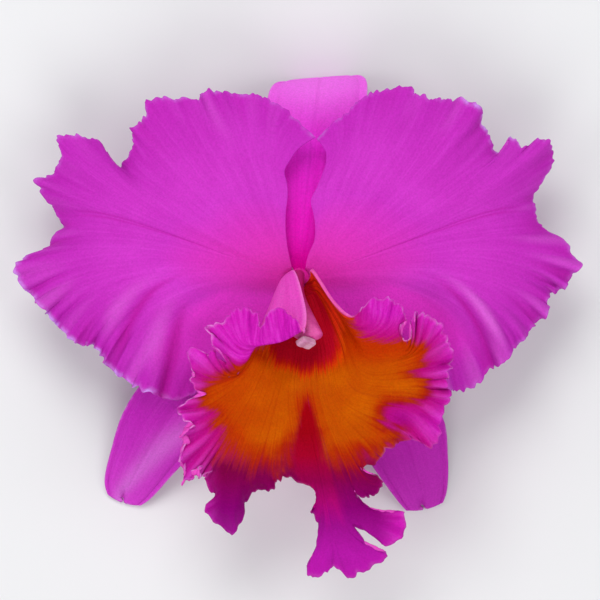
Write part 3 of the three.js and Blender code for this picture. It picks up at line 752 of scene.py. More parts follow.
petals = {}
for name, petal in PETALS.items():
    length = curve_length(curve_through(petal["margin"]))
    pitches = (TOOTH_PITCH, NICK_PITCH, RUFFLE_PITCH)
    tooth, nick, ruffle = (margin_waves(length, pitch) for pitch in pitches)

    def teeth(s, t, tooth=tooth, nick=nick, ruffle=ruffle):
        jags = (lively(s) - 0.35) * ruffle(s)
        return step(0.93, 1, t) * (TOOTH * tooth(s) + NICK * nick(s) + JAG * jags)

    leftward = name == "left_petal"
    relief = petal_relief(petal, ruffle, length)
    surface = textured(petal_surface(petal), relief, teeth, -1 if leftward else 1)
    marks, skins = petal_marks(petal, ruffle), [petal_face, petal_back]
    petals[name] = blade(petal["piece"], (720, 44), surface, petal_flesh, marks, skins, 1.5, leftward)
    print(name, "margin", round(length), "mm")


# %% [markdown]
# The three sepals are plainer: long blunt straps with a low keel, which closed the bud and now arch back.
# Laid down, the bloom rests on their tips. A strap is told best from its spine outwards: where the spine
# runs, how wide the blade is there and which way its width lies. The edges are nearly even, with a slow wave.

# %% Outlines of the sepals
# A spine's knots are x, y, z and width, and across is the angle of its width at the seat and at the tip. A
# highlight band is painted light along the blade: its place across the veins, slant, half width, start and
# strength.
SEPALS = {
    "dorsal_sepal": {
        "piece": "sepal_dorsal",
        "seat_middle": 88,
        "spine": [
            [0.5, 6, -4, 12], [1.8, 20, -2.5, 21], [3.4, 37, -4, 28], [5, 49, -9.5, 29.5],
            [5.8, 55.3, -18, 27.4], [6, 56.3, -25, 21], [6, 54.6, -29.4, 9],
        ],
        "across": [-2, 6],
        "highlight_band": [0.5, 0, 0.9, 0.4, 0.75],
    },
    "left_lateral_sepal": {
        "piece": "sepal_left",
        "seat_middle": 224,
        "spine": [
            [-12, -14.5, -4, 12], [-23, -27, -5, 20], [-34, -38.5, -8, 25], [-41.5, -48, -14, 24],
            [-47.3, -58, -21.5, 19.5], [-51.2, -65.5, -27, 15], [-52.6, -69.6, -29.4, 9.5],
        ],
        "across": [138, 162],
        "highlight_band": [-0.2, 0.9, 0.16, 0.35, 0.4],
    },
    "right_lateral_sepal": {
        "piece": "sepal_right",
        "seat_middle": 306,
        "spine": [
            [8, -15, -4, 12], [16.5, -28, -5, 20], [24.5, -39.5, -8, 25], [30.6, -49.5, -14, 25.5],
            [34.2, -59.5, -21.5, 20.5], [36.6, -67.5, -27, 15], [37.2, -71.5, -29.4, 10.5],
        ],
        "across": [212, 192],
        "highlight_band": [0.3, 0, 0.3, 0.3, 0],
    },
}


# %% The surface of a sepal
SEPAL_TIER, SEPAL_SEAT_HALF_SPAN = -5, 36
SEPAL_KEEL, KEEL_END = 1.6, 0.9
ROUNDED_FROM = 0.972  # where the blunt tip begins to round off


def sepal_surface(sepal):
    """The middle layer of a sepal, as the frame's solid has it."""
    middle = sepal["seat_middle"]
    seat = seat_points(middle, 0, SEPAL_TIER, np.array([0.5]))[0]
    seat_width = 2 * SEAT_RADIUS * math.sin(math.radians(SEPAL_SEAT_HALF_SPAN))
    spine = curve_through([seat] + [knot[:3] for knot in sepal["spine"]])
    width = keyed([seat_width] + [knot[3] for knot in sepal["spine"]])
    start, end = sepal["across"]

    def surface(s, t):
        p = spine(t)
        angle = np.radians(start + (end - start) * t)
        side = 1 - 2 * s
        rounding = np.clip((t - ROUNDED_FROM) / (1 - ROUNDED_FROM), 0, 1)
        half = width(t) / 2 * np.sqrt(1 - 0.97 * rounding**2)
        p[:, 0] -= side * half * np.cos(angle)
        p[:, 1] -= side * half * np.sin(angle)
        p[:, 2] -= SEPAL_KEEL * side**2 * np.sin(np.pi * np.minimum(1, t / KEEL_END))
        seated = seat_points(middle, SEPAL_SEAT_HALF_SPAN, SEPAL_TIER, s)
        hold = 1 - step(0, 0.1, t)[:, None]
        return hold * seated + (1 - hold) * p

    return surface


# %% The three sepals
SEPAL_THICKNESS = 1.0
EDGE_WAVE, SEPAL_FURROW_DEPTH, HEM_DEPTH = 0.9, 0.02, 0.5
SEPAL_CHANNEL_DEPTH, SEPAL_CHANNEL_LIP = 0.12, 0.06
TIP_FOLD = 0.12  # how far beside the keel the tip is folded
TIP_FOLD_DEPTH, TIP_DRAWN_IN = 1.4, 1.6


def sepal_relief():
    """Slow waves along the edges, furrows, a channel along the keel and a fold in the tip."""
    edges, furrows = [wander(9), wander(9)], wander(24)

    def relief(s, t):
        side = 2 * s - 1
        edge = np.where(side < 0, edges[0](t), edges[1](t))
        height = EDGE_WAVE * edge * np.abs(side) ** 3 * np.sin(np.pi * np.minimum(1, 1.05 * t))
        height += SEPAL_FURROW_DEPTH * furrows(s) * plateau(0.1, 0.3, 0.8, 1, t)
        channel = SEPAL_CHANNEL_DEPTH * bump(side, 0, 0.05)
        channel -= SEPAL_CHANNEL_LIP * bump(np.abs(side), 0.12, 0.06)
        height -= channel * plateau(0.05, 0.2, 0.7, 0.95, t)
        height -= HEM_DEPTH * step(0.3, 0.5, t) * bump(np.abs(side), 0.84, 0.07)
        return height - TIP_FOLD_DEPTH * step(0.78, 0.98, t) * bump(side, TIP_FOLD, 0.16)

    return relief


def sepal_teeth(s, t):
    """The tip is drawn in where the keel ends in a small fold."""
    return -TIP_DRAWN_IN * step(0.93, 1, t) * bump(2 * s - 1, TIP_FOLD, 0.13)


def settle(piece):
    """Whatever of a piece would sink into the surface lies flat on it instead."""
    for vertex in piece.data.vertices:
        vertex.co.z = max(vertex.co.z, 0)


def sepal_flesh(s, t):
    """Fleshy at the seat and along the keel, thinner at the tip and the edges."""
    return tapered(SEPAL_THICKNESS, t) * (1 - 0.35 * (2 * s - 1) ** 6)


def sepal_marks(across, slant, half_width, start, strength):
    """The marks of a sepal: its rib, painted shade in the fold of its tip and a painted highlight band; one
    with no band is painted darker all over, as shade.
    """

    def marks(s, t, places):
        side = np.abs(2 * s - 1)
        rib_and_painted_shade = 0.15 * plateau(0.05, 0.2, 0.7, 0.95, t) * bump(side, 0.02, 0.02)
        # painted shade: a sepal with no highlight band is darker all over
        rib_and_painted_shade += 0.35 if strength == 0 else 0
        # painted shade in the fold of the tip
        folded = 0.8 * step(0.86, 0.98, t) * bump(2 * s - 1, TIP_FOLD, 0.1)
        # painted light along a band of the blade
        highlight_band = strength * step(start, start + 0.25, t) * bump(s, across + slant * t, half_width)
        rim = np.maximum(step(0.95, 1, side), step(0.985, 1, t))
        return {"midrib": np.maximum(rib_and_painted_shade, folded), "crest": highlight_band, "rim": rim}

    return marks


sepals = {}
for name, sepal in SEPALS.items():
    surface = textured(sepal_surface(sepal), sepal_relief(), sepal_teeth)
    skins = [dorsal_face if name == "dorsal_sepal" else sepal_face, sepal_back]
    marks = sepal_marks(*sepal["highlight_band"])
    sepals[name] = blade(sepal["piece"], (100, 150), surface, sepal_flesh, marks, skins)
    settle(sepals[name])


# %% [markdown]
# The lip is the third petal, made into a landing place. Its claw leaves the receptacle under the column, its
# two side lobes roll up round the column into a tube, and beyond them it opens to a wide frilled skirt with
# two lower lobes and a forked tongue. Seen from above the left lobe is rolled back over itself like a collar,
# so that its inner face shows, and the right one stands open and shows its red throat. As one sheet it still
# has only two directions: rings that run from one free edge, round below the column, to the other, and veins
# that pass through all the rings to the margin.

# %% Outlines of the lip
# Each ring runs from the left lobe's free edge, over the column, round below it to the right lobe's.
LIP_CLAW = curve_through([
    [-3.5, -2.6, 4.6], [-4, -3.4, 3.9], [-4.4, -4.6, 3], [-4.2, -6, 1.9], [-2.6, -7.2, 1.2],
    [-0.2, -7.6, 0.9], [2.2, -7.2, 1.2], [3.8, -5.4, 2.4], [3.1, -2.4, 4.6],
])
LIP_TUBE = curve_through([
    [-1.2, -1.5, 7.8], [-4, -3, 8], [-6, -5, 6.5], [-6.3, -7.5, 3.8], [-4, -9.3, 2],
    [0.5, -10, 1.4], [5, -9, 2.2], [6.5, -6.5, 4.3], [3.7, -0.8, 7.8],
])
LIP_MOUTH = curve_through([
    [1.6, -11.5, 17.2], [-4, -12.5, 17.8], [-9, -14.5, 15.5], [-11, -18, 11.5],
    [-7, -22, 8], [1.5, -24, 6.5], [9.5, -22, 8.5], [14, -17.5, 12], [8.8, -8.6, 14],
])
LIP_BELL = curve_through([
    [1.9, -15.8, 20.8], [-4.5, -18, 20.4], [-11, -21, 17], [-16, -29, 15.5],
    [-12, -37, 15.5], [1.5, -39.5, 13.5], [13.5, -37, 15.5], [20, -27, 16.5], [11.4, -11.6, 17],
])
# Veins where the skirt folds or spreads: place along the margin, place round the rings, x, y and z.
LIP_FOLDS = [
    [0, 0, 1.5, -17.6, 21.8], [3, 0.11, -4.4, -20.6, 22.5], [6, 0.22, -11.3, -22.2, 19.5],
    [10, 0.28, -17.6, -22, 18], [14, 0.33, -18.5, -30.5, 17], [18, 0.375, -25, -32.5, 17],
    [22, 0.42, -26.5, -42, 16], [26, 0.46, -26, -52.5, 13.4], [27, 0.467, -25.4, -53.2, 13.2],
    [28, 0.474, -24.8, -54, 13], [29, 0.481, -24, -54.8, 12.8], [30, 0.488, -23.6, -57, 12.3],
    [31, 0.497, -22.4, -61.5, 11.6], [32, 0.505, -21.8, -64.5, 11.1], [33, 0.514, -20.6, -66.5, 10.8],
    [34, 0.523, -19.2, -67.5, 10.7], [35, 0.532, -17.8, -66, 10.9], [36, 0.541, -15.8, -62, 11.5],
    [37, 0.55, -13.2, -59.5, 11.9], [38, 0.558, -9.6, -58.4, 12.1], [39, 0.566, -7.4, -57, 12.4],
    [40, 0.574, -4.4, -56, 12.5], [41, 0.583, -0.4, -56.6, 12.4], [42, 0.592, 2.6, -59.5, 12],
    [43, 0.599, 4.2, -62.5, 11.5], [44, 0.605, 5, -65, 11.1], [45, 0.611, 6.2, -68, 10.7],
    [46, 0.617, 7, -71, 10.3], [47, 0.621, 7.4, -73.6, 10], [48, 0.624, 7.8, -75, 9.8],
    [50, 0.631, 9, -76, 9.6], [52, 0.638, 10.4, -75.8, 9.6], [54, 0.645, 12, -74, 9.8],
    [55, 0.648, 12.6, -72.4, 10], [56, 0.651, 13.2, -70.2, 10.3], [57, 0.654, 14.6, -70.4, 10.2],
    [58, 0.657, 15.8, -70.8, 10.1], [59, 0.66, 17, -70, 10.2], [60, 0.663, 17.2, -68.6, 10.4],
    [61, 0.666, 16.8, -67.4, 10.6], [62, 0.669, 16, -65.6, 10.9], [63, 0.673, 14.6, -61.4, 11.6],
    [64, 0.677, 16.2, -61.8, 11.6], [65, 0.68, 17.4, -61.4, 11.7], [66, 0.683, 17.9, -60, 11.9],
    [67, 0.687, 17.4, -58.4, 12.2], [68, 0.693, 15.8, -54.4, 12.9], [69, 0.7, 18.8, -52.4, 13.4],
    [70, 0.708, 20.8, -50, 14.2], [72, 0.725, 25, -46.2, 15.2], [74, 0.75, 30, -43.2, 16],
    [78, 0.81, 35, -34.4, 17], [82, 0.86, 34, -26, 17.5], [87, 0.9, 30, -24, 18.5],
    [92, 0.94, 23.5, -16.5, 17.8], [94, 0.97, 17.4, -16.3, 18.7], [96, 1, 12.6, -12.9, 18.2],
]
LIP_MARGIN = [
    [1.2, -19.1, 22.5], [-0.9, -15.3, 24], [-2.9, -14.1, 24.2], [-5, -12.1, 23.5],  # rolled-back lobe
    [-8.8, -12.6, 21.5], [-10.6, -15.6, 20.5], [-11.5, -17.4, 19], [-12.6, -13.5, 17.5],
    [-15.9, -11.8, 16.5], [-19.7, -12.9, 16], [-22.1, -15.9, 17], [-25.3, -15.9, 17.5],  # left frill
    [-27.4, -18.2, 16], [-24.7, -22.6, 19], [-21.2, -28.8, 18.5], [-25.9, -24.7, 15],
    [-29.4, -22.6, 16], [-32.9, -24.1, 14], [-34.1, -30.6, 15], [-31.5, -35.3, 17],
    [-32.4, -37.9, 15.5], [-36.5, -41.5, 13.5], [-33.5, -43.8, 15], [-35.3, -48.2, 13],
    [-36.5, -54.1, 12.5], [-37.1, -60, 11], [-34.4, -64.1, 9.5], [-32.1, -62.1, 11],
    [-29.7, -61.8, 11.5], [-27.4, -59.4, 12], [-27.9, -62.9, 9], [-24.9, -67.4, 7],  # lower left lobe
    [-28, -71.4, 4.5], [-23.6, -75.4, 3], [-19.6, -78, 2.5], [-17.4, -74.4, 4],
    [-15.6, -68.2, 6.5], [-12.4, -65, 8.5], [-8.2, -64.7, 10], [-6.2, -62.1, 11.5],
    [-2.9, -61.5, 12.5], [1.8, -63.5, 12], [4.7, -65.9, 11], [5.3, -69.1, 10],  # tongue
    [3.5, -71.5, 8.5], [5.3, -75.6, 7.5], [5, -81.5, 6], [1.8, -87.6, 3.5], [3.8, -90.6, 3],
    [7.4, -89.3, 4.5], [10.2, -87.4, 4], [14.2, -90.8, 3], [17.4, -89.4, 4.5], [20.9, -87.6, 4],
    [25.6, -84.4, 3.5], [20.2, -81.4, 6.5], [16.4, -76.2, 8.5], [21.8, -78.6, 5.5],  # right prong
    [24.9, -81.6, 5], [29.9, -78.8, 4.5], [30.6, -71.8, 5.5], [26, -71.6, 7.5],
    [20.3, -70.2, 9.5], [16, -66, 11], [19.4, -67.2, 10.5], [22, -66, 10],  # small prong
    [24, -63.3, 10.5], [23, -61.2, 11.5], [18, -58.9, 12.4], [22.8, -57.2, 13.5],
    [24.7, -54.4, 15], [27.4, -52.1, 15.5], [31.8, -50.6, 15], [35.6, -50.9, 14.5],  # right frill
    [38.8, -52.6, 13], [41.2, -48.2, 13.5], [41.5, -43.2, 14.5], [43.5, -38.2, 14],
    [43.8, -34.7, 15], [43.5, -31.5, 16.5], [45, -28.5, 15], [44.1, -24.1, 15.5],
    [42.9, -20.6, 15], [41.5, -16.8, 15.5], [38.2, -14.1, 15.5], [35, -13.2, 16],
    [32.6, -14.1, 17], [32.1, -20.3, 19.5], [29.7, -20.6, 19.5], [30, -15.6, 17.5],
    [30.6, -13.2, 16.5], [28.5, -10.6, 15.5], [25.3, -8.8, 15], [21.5, -9.1, 15.5],
    [18.2, -11.5, 17], [15.9, -14.1, 19], [13.8, -13.8, 19],  # right lobe's free edge
]


# %% The surface of the lip
LIP_TIER, LIP_SEAT_MIDDLE, LIP_SEAT_HALF_SPAN = 1.4, 270, 55
lip_margin = curve_through(LIP_MARGIN)


def lip_place(s):
    """Each place told in points of the lip's margin."""
    return s * (len(LIP_MARGIN) - 1)


def between_keys(keys):
    """A smooth curve through [place, ...] rows whose places are unevenly spaced."""
    keys = np.asarray(keys, float)
    padded = np.vstack([keys[1], keys, keys[-2]])

    def at(place):
        first = np.clip(np.searchsorted(keys[:, 0], place, side="right") - 1, 0, len(keys) - 2)
        rows = [padded[first + k] for k in range(4)]
        before, start, end, after = (row[:, :1] for row in rows)
        a, b, c, d = (row[:, 1:] for row in rows)
        w = (place[:, None] - start) / (end - start)
        lead, trail = (end - start) / 2 / (start - before), (end - start) / 2 / (after - end)
        share_a = -lead * w**3 + 2 * lead * w**2 - lead * w
        share_b = (1 + lead) * w**3 + (-1.5 - 2 * lead) * w**2 + (lead - 0.5) * w + 1
        share_c = (-1 - trail) * w**3 + (1.5 + trail) * w**2 + 0.5 * w
        share_d = trail * w**3 - trail * w**2
        return share_a * a + share_b * b + share_c * c + share_d * d

    return at


lip_folds = between_keys(LIP_FOLDS)


def lip_surface(s, t):
    """The middle layer of the lip, as the frame's solid has it."""
    fold = lip_folds(lip_place(s))
    around = fold[:, 0]
    seat = seat_points(LIP_SEAT_MIDDLE, -LIP_SEAT_HALF_SPAN, LIP_TIER, around)
    rings = [ring(around) for ring in (LIP_CLAW, LIP_TUBE, LIP_MOUTH, LIP_BELL)]
    stations = [seat, *rings, fold[:, 1:], lip_margin(s)]
    spans = len(stations) - 1
    stations = np.stack([2 * stations[0] - stations[1], *stations, 2 * stations[-1] - stations[-2]])
    along = np.clip(t, 0, 1) * spans
    first = np.clip(np.floor(along).astype(int), 0, spans - 1)
    each = np.arange(len(t))
    return through(*(stations[first + k, each] for k in range(4)), (along - first)[:, None])


# %% The lip's frills
LIP_THICKNESS = 0.8
FRILLS = 64  # curls along the whole margin
CURL_HEIGHT, ROLL_HEIGHT, HEM_HEIGHT, LOOP_HEIGHT = 1.3, 1.2, 2.2, 0.5
TOOTH_LENGTH, ROLLED_IN, HEM_IN, LOOP_REACH = 0.75, 3.4, 4.2, 1.6  # how far out or in, along the veins
CURL_LEAN, LOOP_LEAN = 0.55, 1.0  # how far sideways
LIP_FURROW_DEPTH = 0.03

# These are told in points of the margin.
ROLLED = [(15.9, 0.5), (17.9, 0.5), (19.6, 0.4)]  # where the hem is rolled over, and how widely
TURNED_BACK = (22.6, 27.6)  # between these the hem is turned back over the skirt
LOOP = 1.15  # how long each loop of that hem is
SLIT = 88.2  # where the skirt is cut by a narrow slit
NOTCH = 14  # the bottom of the notch beside the left lobe

lip_length = curve_length(lip_margin)
lip_ruffle, lip_flutter, lip_tooth = (margin_waves(lip_length, pitch) for pitch in (1.9, 1.0, 1.1))
lip_furrows, curl_drift, curl_strength = wander(110), wander(30), wander(24)


def frilled(s):
    """1 where the skirt's margin is frilled, more than half on the right, and calm at slit and notch."""
    left, right = plateau(0.1, 0.13, 0.29, 0.32, s), plateau(0.7, 0.74, 0.92, 0.95, s)
    calm = 1 - 0.9 * bump(lip_place(s), SLIT, 1.8) - 0.95 * bump(lip_place(s), NOTCH, 0.9)
    return (left + 0.6 * right) * (0.9 + 0.5 * curl_strength(s)) * calm


def curl(s):
    """How far round its curl each place of the frill is."""
    return 2 * np.pi * FRILLS * s + 2.5 * curl_drift(s)


def rolled(s):
    """1 where the hem is rolled over."""
    return sum(bump(lip_place(s), at, half_width) for at, half_width in ROLLED)


def turned_back(s):
    """1 where the hem is turned back, and how far round its loops each place is."""
    start, end = TURNED_BACK
    return plateau(start - 0.6, start, end, end + 0.6, lip_place(s)), 2 * np.pi * lip_place(s) / LOOP


def gathered(s):
    """Moves the grid's columns closer together where the hem is turned back."""
    even = np.linspace(0, 1, 2001)
    density = np.cumsum(1 + 1.6 * bump(lip_place(even), sum(TURNED_BACK) / 2, 3))
    return np.interp(s, (density - density[0]) / (density[-1] - density[0]), even)


def lip_relief(s, t):
    """Curls round the skirt, a rolled and a turned-back hem with loops, and furrows between the veins."""
    height = (0.5 + 0.6 * frilled(s)) * lip_ruffle(s) * step(0.84, 1, t)
    height += (0.2 + 0.25 * frilled(s)) * lip_flutter(s) * step(0.9, 1, t)
    height += CURL_HEIGHT * frilled(s) * np.sin(curl(s)) * step(0.76, 1, t)
    height += ROLL_HEIGHT * rolled(s) * step(0.93, 0.975, t)
    turned, loop = turned_back(s)
    height += turned * (HEM_HEIGHT * step(0.88, 0.96, t) + LOOP_HEIGHT * np.sin(loop) * step(0.94, 1, t))
    return height + LIP_FURROW_DEPTH * lip_furrows(s) * step(0.35, 0.6, t)


def lip_teeth(s, t):
    """Teeth at the margin; where the hem is rolled or turned back, it comes in again over the skirt."""
    turned, loop = turned_back(s)
    hem = TOOTH_LENGTH * lip_tooth(s) * step(0.92, 1, t) - ROLLED_IN * rolled(s) * step(0.945, 1, t)
    hem += turned * (1.4 * step(0.8, 0.93, t) - HEM_IN * step(0.935, 1, t))
    hem += turned * LOOP_REACH * np.sin(loop) * step(0.95, 1, t)
    return hem - 0.5 * frilled(s) * (1 - np.cos(2 * curl(s))) * step(0.85, 1, t)


def lip_lean(s, t):
    """Curls lean over sideways, so that they overlap as a frill does."""
    turned, loop = turned_back(s)
    lean = CURL_LEAN * (1 - turned) * frilled(s) * np.sin(2 * curl(s)) * step(0.82, 1, t)
    return lean + LOOP_LEAN * turned * np.sin(2 * loop) * step(0.94, 1, t)


def lip_flesh(s, t):
    """Fleshy at the claw and thin at the frills."""
    return tapered(LIP_THICKNESS, t) * (1 - 0.4 * step(0.92, 1, t))


# %% The golden field and the crimson stain
# The golden field seen from above, from the right lobe's free edge round the skirt and back up the throat.
GOLD = [
    [3.8, -1.8], [5.6, -5.3], [8.8, -8.5], [11.2, -11.5], [13.5, -14.1], [15.3, -17.6],
    [18.2, -20.6], [25, -21.8], [33.2, -21.5], [36.2, -24.1], [35.6, -28.2], [31.8, -30.6],
    [36.2, -33.2], [36.8, -35.9], [35.6, -37.9], [30.6, -38.5], [25.9, -38.5], [23.8, -41.2],
    [23.5, -44.4], [25, -46.8], [29.7, -47.4], [29.1, -49.4], [24.4, -52.4], [21.8, -55],
    [17.6, -56.2], [13.2, -57.4], [9.4, -57.6], [6.5, -55.9], [4.4, -47.6], [1.8, -38.8],
    [0.3, -46.2], [-0.9, -52.1], [-2.9, -57.6], [-8.2, -57.6], [-13.5, -55.9], [-17.9, -53.8],
    [-20.6, -52.6], [-18.8, -50.6], [-22.1, -49.1], [-20.6, -47.1], [-25.6, -45], [-22.9, -42.6],
    [-28.2, -39.4], [-27.9, -35.9], [-26.5, -33.8], [-18.8, -29.7], [-15.9, -23.8], [-11.2, -24.1],
    [-5.6, -21.2], [0, -19.7], [1.8, -15.3], [1.2, -8.8], [0.9, -3.5],
]
# The crimson stain of the throat, round under the cap and up the right lobe beside the column.
STAIN = [
    [0.6, -2], [2.9, -3.5], [4.7, -6.5], [7.4, -10.9], [8.8, -14.7], [10, -18.2], [10.3, -22.6],
    [8.8, -26.2], [5.9, -28.2], [2.1, -29.1], [-2.4, -28.2], [-5.9, -26.2], [-7.9, -23.2],
    [-7, -19], [-2.9, -19.7], [0, -9.4],
]


def depth_inside(places, outline):
    """Millimetres from each place to the outline as seen from above, negative outside it."""
    corners = np.asarray(outline, float)
    nearest = np.full(len(places), np.inf)
    crossings = np.zeros(len(places), int)
    for start, end in zip(corners, np.roll(corners, -1, axis=0)):
        edge, beside = end - start, places[:, :2] - start
        share = np.clip(beside @ edge / (edge @ edge), 0, 1)
        nearest = np.minimum(nearest, np.linalg.norm(beside - share[:, None] * edge, axis=1))
        spans = (start[1] > places[:, 1]) != (end[1] > places[:, 1])
        if end[1] != start[1]:
            crossings += spans & (beside[:, 0] < edge[0] * beside[:, 1] / edge[1])
    return np.where(crossings % 2 == 1, nearest, -nearest)


def lip_marks(s, t, places):
    """Where the lip's tissue is golden, crimson or dark, told in millimetres from the heart."""
    x, y = places[:, 0], places[:, 1]
    collar = (1 - step(0.1, 0.14, s)) * step(0.68, 0.74, t)
    gold = (depth_inside(places, GOLD) - 25 * collar) * (1 - 0.62 * step(43, 54, -y))
    stain = depth_inside(places, STAIN) - 25 * collar
    lobe = step(-24, -14, y) * plateau(1, 3, 13, 17, x) * (1 - collar)
    wave = frilled(s) * np.sin(curl(s)) * step(0.78, 0.97, t)
    below = np.maximum(0, -39 - y)
    keel = bump(x, 2.2 + 0.4 * np.maximum(0, below - 17), 0.8 + 0.24 * np.minimum(20, below))
    keel = np.minimum(1, 1.3 * keel) * step(0, 2.5, below) * (1 - 0.2 * step(12, 20, below))
    hem = 0.5 + 0.9 * step(0.08, 0.12, s) - 1.1 * step(0.29, 0.32, s) + 0.6 * step(0.79, 0.82, s)
    hem = (hem + 0.6 * turned_back(s)[0]) * (1 - bump(lip_place(s), NOTCH, 1.2))
    return {
        "gold": gold,
        "stain": stain,
        "flush": np.maximum(0.5 * step(3, 22, -x), 0.85 * step(-31, -24, y)),
        # the right lobe's inner face: its own red, partly painted light where the throat shades it
        "lobe": 0.9 * lobe * (1 - step(-1.5, 0.5, stain)),
        # painted highlight on the curls' crests; painted shade in their valleys and in the fold beside the
        # gold's right wing
        "crest": np.clip(0.5 * wave, 0, 0.5),
        "valley": np.maximum(np.clip(-0.6 * wave, 0, 0.6), 0.8 * bump(x, 29.5, 4) * bump(y, -44, 3)),
        "keel": keel * step(-80, -64, y),
        "neck": np.clip((-42 - y) / 32, 0, 1),
        # the lower lobes: their own colour, and in part painted shade where the lip curves down and back
        "low": (1 - step(-58, -52, y)) * (1 - step(22, 30, np.abs(x))),
        "fall": np.clip((-50 - y) / 40, 0, 1),
        "rim": hem * step(0.986, 1, t),
        # painted shade on the outside, near the notch beside the left lobe
        "pit": bump(lip_place(s), 15.7, 1.6) * (1 - step(0.8, 0.84, t)),
        "free_edge": 1 - step(0.002, 0.009, np.minimum(s, 1 - s)),
    }


# %% The lip
lip_fine = textured(lip_surface, lip_relief, lip_teeth, facing=-1, lean=lip_lean)
skins = [lip_face, lip_back]
lip = blade("frilled_lip", (840, 56), lip_fine, lip_flesh, lip_marks, skins, 1.2, True, gathered)
print("lip margin", round(lip_length), "mm")


# %% [markdown]
# Inside the tube stands the column, where the stamen and the pistil have grown into one club. It is round
# above and flat below, with a sticky hollow, the stigma, near its end. It could be carved from a block, but
# it is easier to let it grow as it does in the bud: a disc is extruded ring by ring along its axis, each ring
# turned to face the way it goes and resized to its width.


# %% Growing a piece along its axis
def spot_on(axis, place):
    """A place on an axis, in metres."""
    return Vector((axis(np.array(place)) + HEART) * MM)


def grow(name, axis, rings, sides=48):
    """Extrudes a disc along the axis; rings holds the half width and half depth in mm at even steps."""
    places = np.linspace(0, 1, len(rings))
    spots = [spot_on(axis, place) for place in places]
    ahead = axis(np.minimum(places + 0.01, 1)) - axis(np.maximum(places - 0.01, 0))
    tilts = np.unwrap(np.arctan2(ahead[:, 2], ahead[:, 1]))
    pick()
    bpy.ops.mesh.primitive_circle_add(vertices=sides, radius=MM, fill_type="NGON", location=spots[0])
    piece = bpy.context.object
    piece.name = name
    piece.rotation_euler.x = tilts[0] - math.pi / 2
    bpy.ops.object.transform_apply(location=True, rotation=True, scale=True)
    mode("EDIT")
    bpy.ops.mesh.select_all(action="SELECT")
    wide, deep = rings[0]
    bpy.ops.transform.resize(value=(wide, deep, deep), center_override=spots[0])
    for k in range(1, len(rings)):
        bpy.ops.mesh.extrude_region_move(TRANSFORM_OT_translate={"value": spots[k] - spots[k - 1]})
        turn = tilts[k - 1] - tilts[k]  # with no window, rotate turns the other way
        bpy.ops.transform.rotate(value=turn, orient_axis="X", center_override=spots[k])
        wider, deeper = rings[k][0] / rings[k - 1][0], rings[k][1] / rings[k - 1][1]
        bpy.ops.transform.resize(value=(wider, deeper, deeper), center_override=spots[k])
    bpy.ops.mesh.select_all(action="SELECT")
    bpy.ops.mesh.normals_make_consistent(inside=False)
    mode("OBJECT")
    return piece


def round_off(piece):
    """One round of Subdivision Surface, and smooth shading."""
    pick(piece)
    apply_modifier(piece, "SUBSURF", levels=1, render_levels=1)
    bpy.ops.object.shade_smooth()
    print(piece.name, len(piece.data.polygons), "faces")


# %% The column
column_axis = curve_through([[-0.4, -1.6, 2.4], [-0.6, -7.6, 7.6], [1, -15, 13], [2.6, -21, 16.6]])
COLUMN_BASE_WIDTH, COLUMN_APEX_WIDTH, COLUMN_DEPTH = 3.6, 9.2, 5.4
COLUMN_STEPS = 26
STIGMA_CENTRE, STIGMA_RADII = (0, -4, 2.2), (2.4, 2.6, 1.7)

column_rings = []
for along in np.linspace(0, 1, COLUMN_STEPS):
    width = COLUMN_BASE_WIDTH + (COLUMN_APEX_WIDTH - COLUMN_BASE_WIDTH) * step(0.25, 0.95, along)
    rounding = math.sqrt(1 - 0.75 * step(0.9, 1, along) ** 2)
    column_rings.append((width / 2 * rounding, COLUMN_DEPTH / 2 * 0.86 * rounding))
column = grow("column_club", column_axis, column_rings)
column_tip = spot_on(column_axis, 1.0)
column_heading = Vector(column_axis(np.array(1.0)) - column_axis(np.array(0.98))).normalized()
column_turn = Vector((0, 1, 0)).rotation_difference(column_heading)


def ball_at_tip(name, centre, radii):
    """An ellipsoid placed from the column's tip: x across it, y beyond it, z towards its belly."""
    pick()
    place = column_tip + column_turn @ Vector(centre) * MM
    bpy.ops.mesh.primitive_uv_sphere_add(segments=40, ring_count=24, radius=MM, location=place)
    ball = bpy.context.object
    ball.name = name
    ball.scale = radii
    ball.rotation_euler = column_turn.to_euler()
    bpy.ops.object.transform_apply(location=True, rotation=True, scale=True)
    return ball


round_off(column)
stigma = ball_at_tip("stigma", STIGMA_CENTRE, STIGMA_RADII)
pick(column)
apply_modifier(column, "BOOLEAN", object=stigma, solver="EXACT")
bpy.data.objects.remove(stigma)
bpy.ops.object.shade_smooth_by_angle(angle=math.radians(40))
print("with its stigma", len(column.data.polygons), "faces")


# %% [markdown]
# The anther cap sits on the column's end like a small lid with a furrow down its middle. Under it lie the
# pollinia: four grains of wax side by side on a strap, which an insect carries off whole.

# %% The anther cap
CAP_CENTRE, CAP_RADII, CAP_WALL = (-1.2, 0.3, 0.4), (2.75, 1.8, 1.8), 0.7
CAP_SQUARENESS = 9  # 2 would leave it an ellipsoid
CAP_FURROW = 0.2

cap = ball_at_tip("anther_lid", CAP_CENTRE, CAP_RADII)
cap_middle = column_tip + column_turn @ Vector(CAP_CENTRE) * MM
mode("EDIT")
bpy.ops.mesh.select_all(action="SELECT")
bpy.ops.mesh.bisect(plane_co=cap_middle, plane_no=column_heading, use_fill=False, clear_inner=True)
bpy.ops.mesh.select_all(action="DESELECT")
mode("OBJECT")
for vertex in cap.data.vertices:
    local = column_turn.inverted() @ (vertex.co - cap_middle) / MM
    shares = [abs(part / radius) for part, radius in zip(local, CAP_RADII)]
    local *= sum(share**CAP_SQUARENESS for share in shares) ** (-1 / CAP_SQUARENESS)
    local.y -= CAP_FURROW * float(bump(local.x, 0, 0.5) * step(0.2, 1.4, local.y))
    vertex.co = cap_middle + column_turn @ local * MM
apply_modifier(cap, "SOLIDIFY", thickness=CAP_WALL * MM, offset=-1)
round_off(cap)

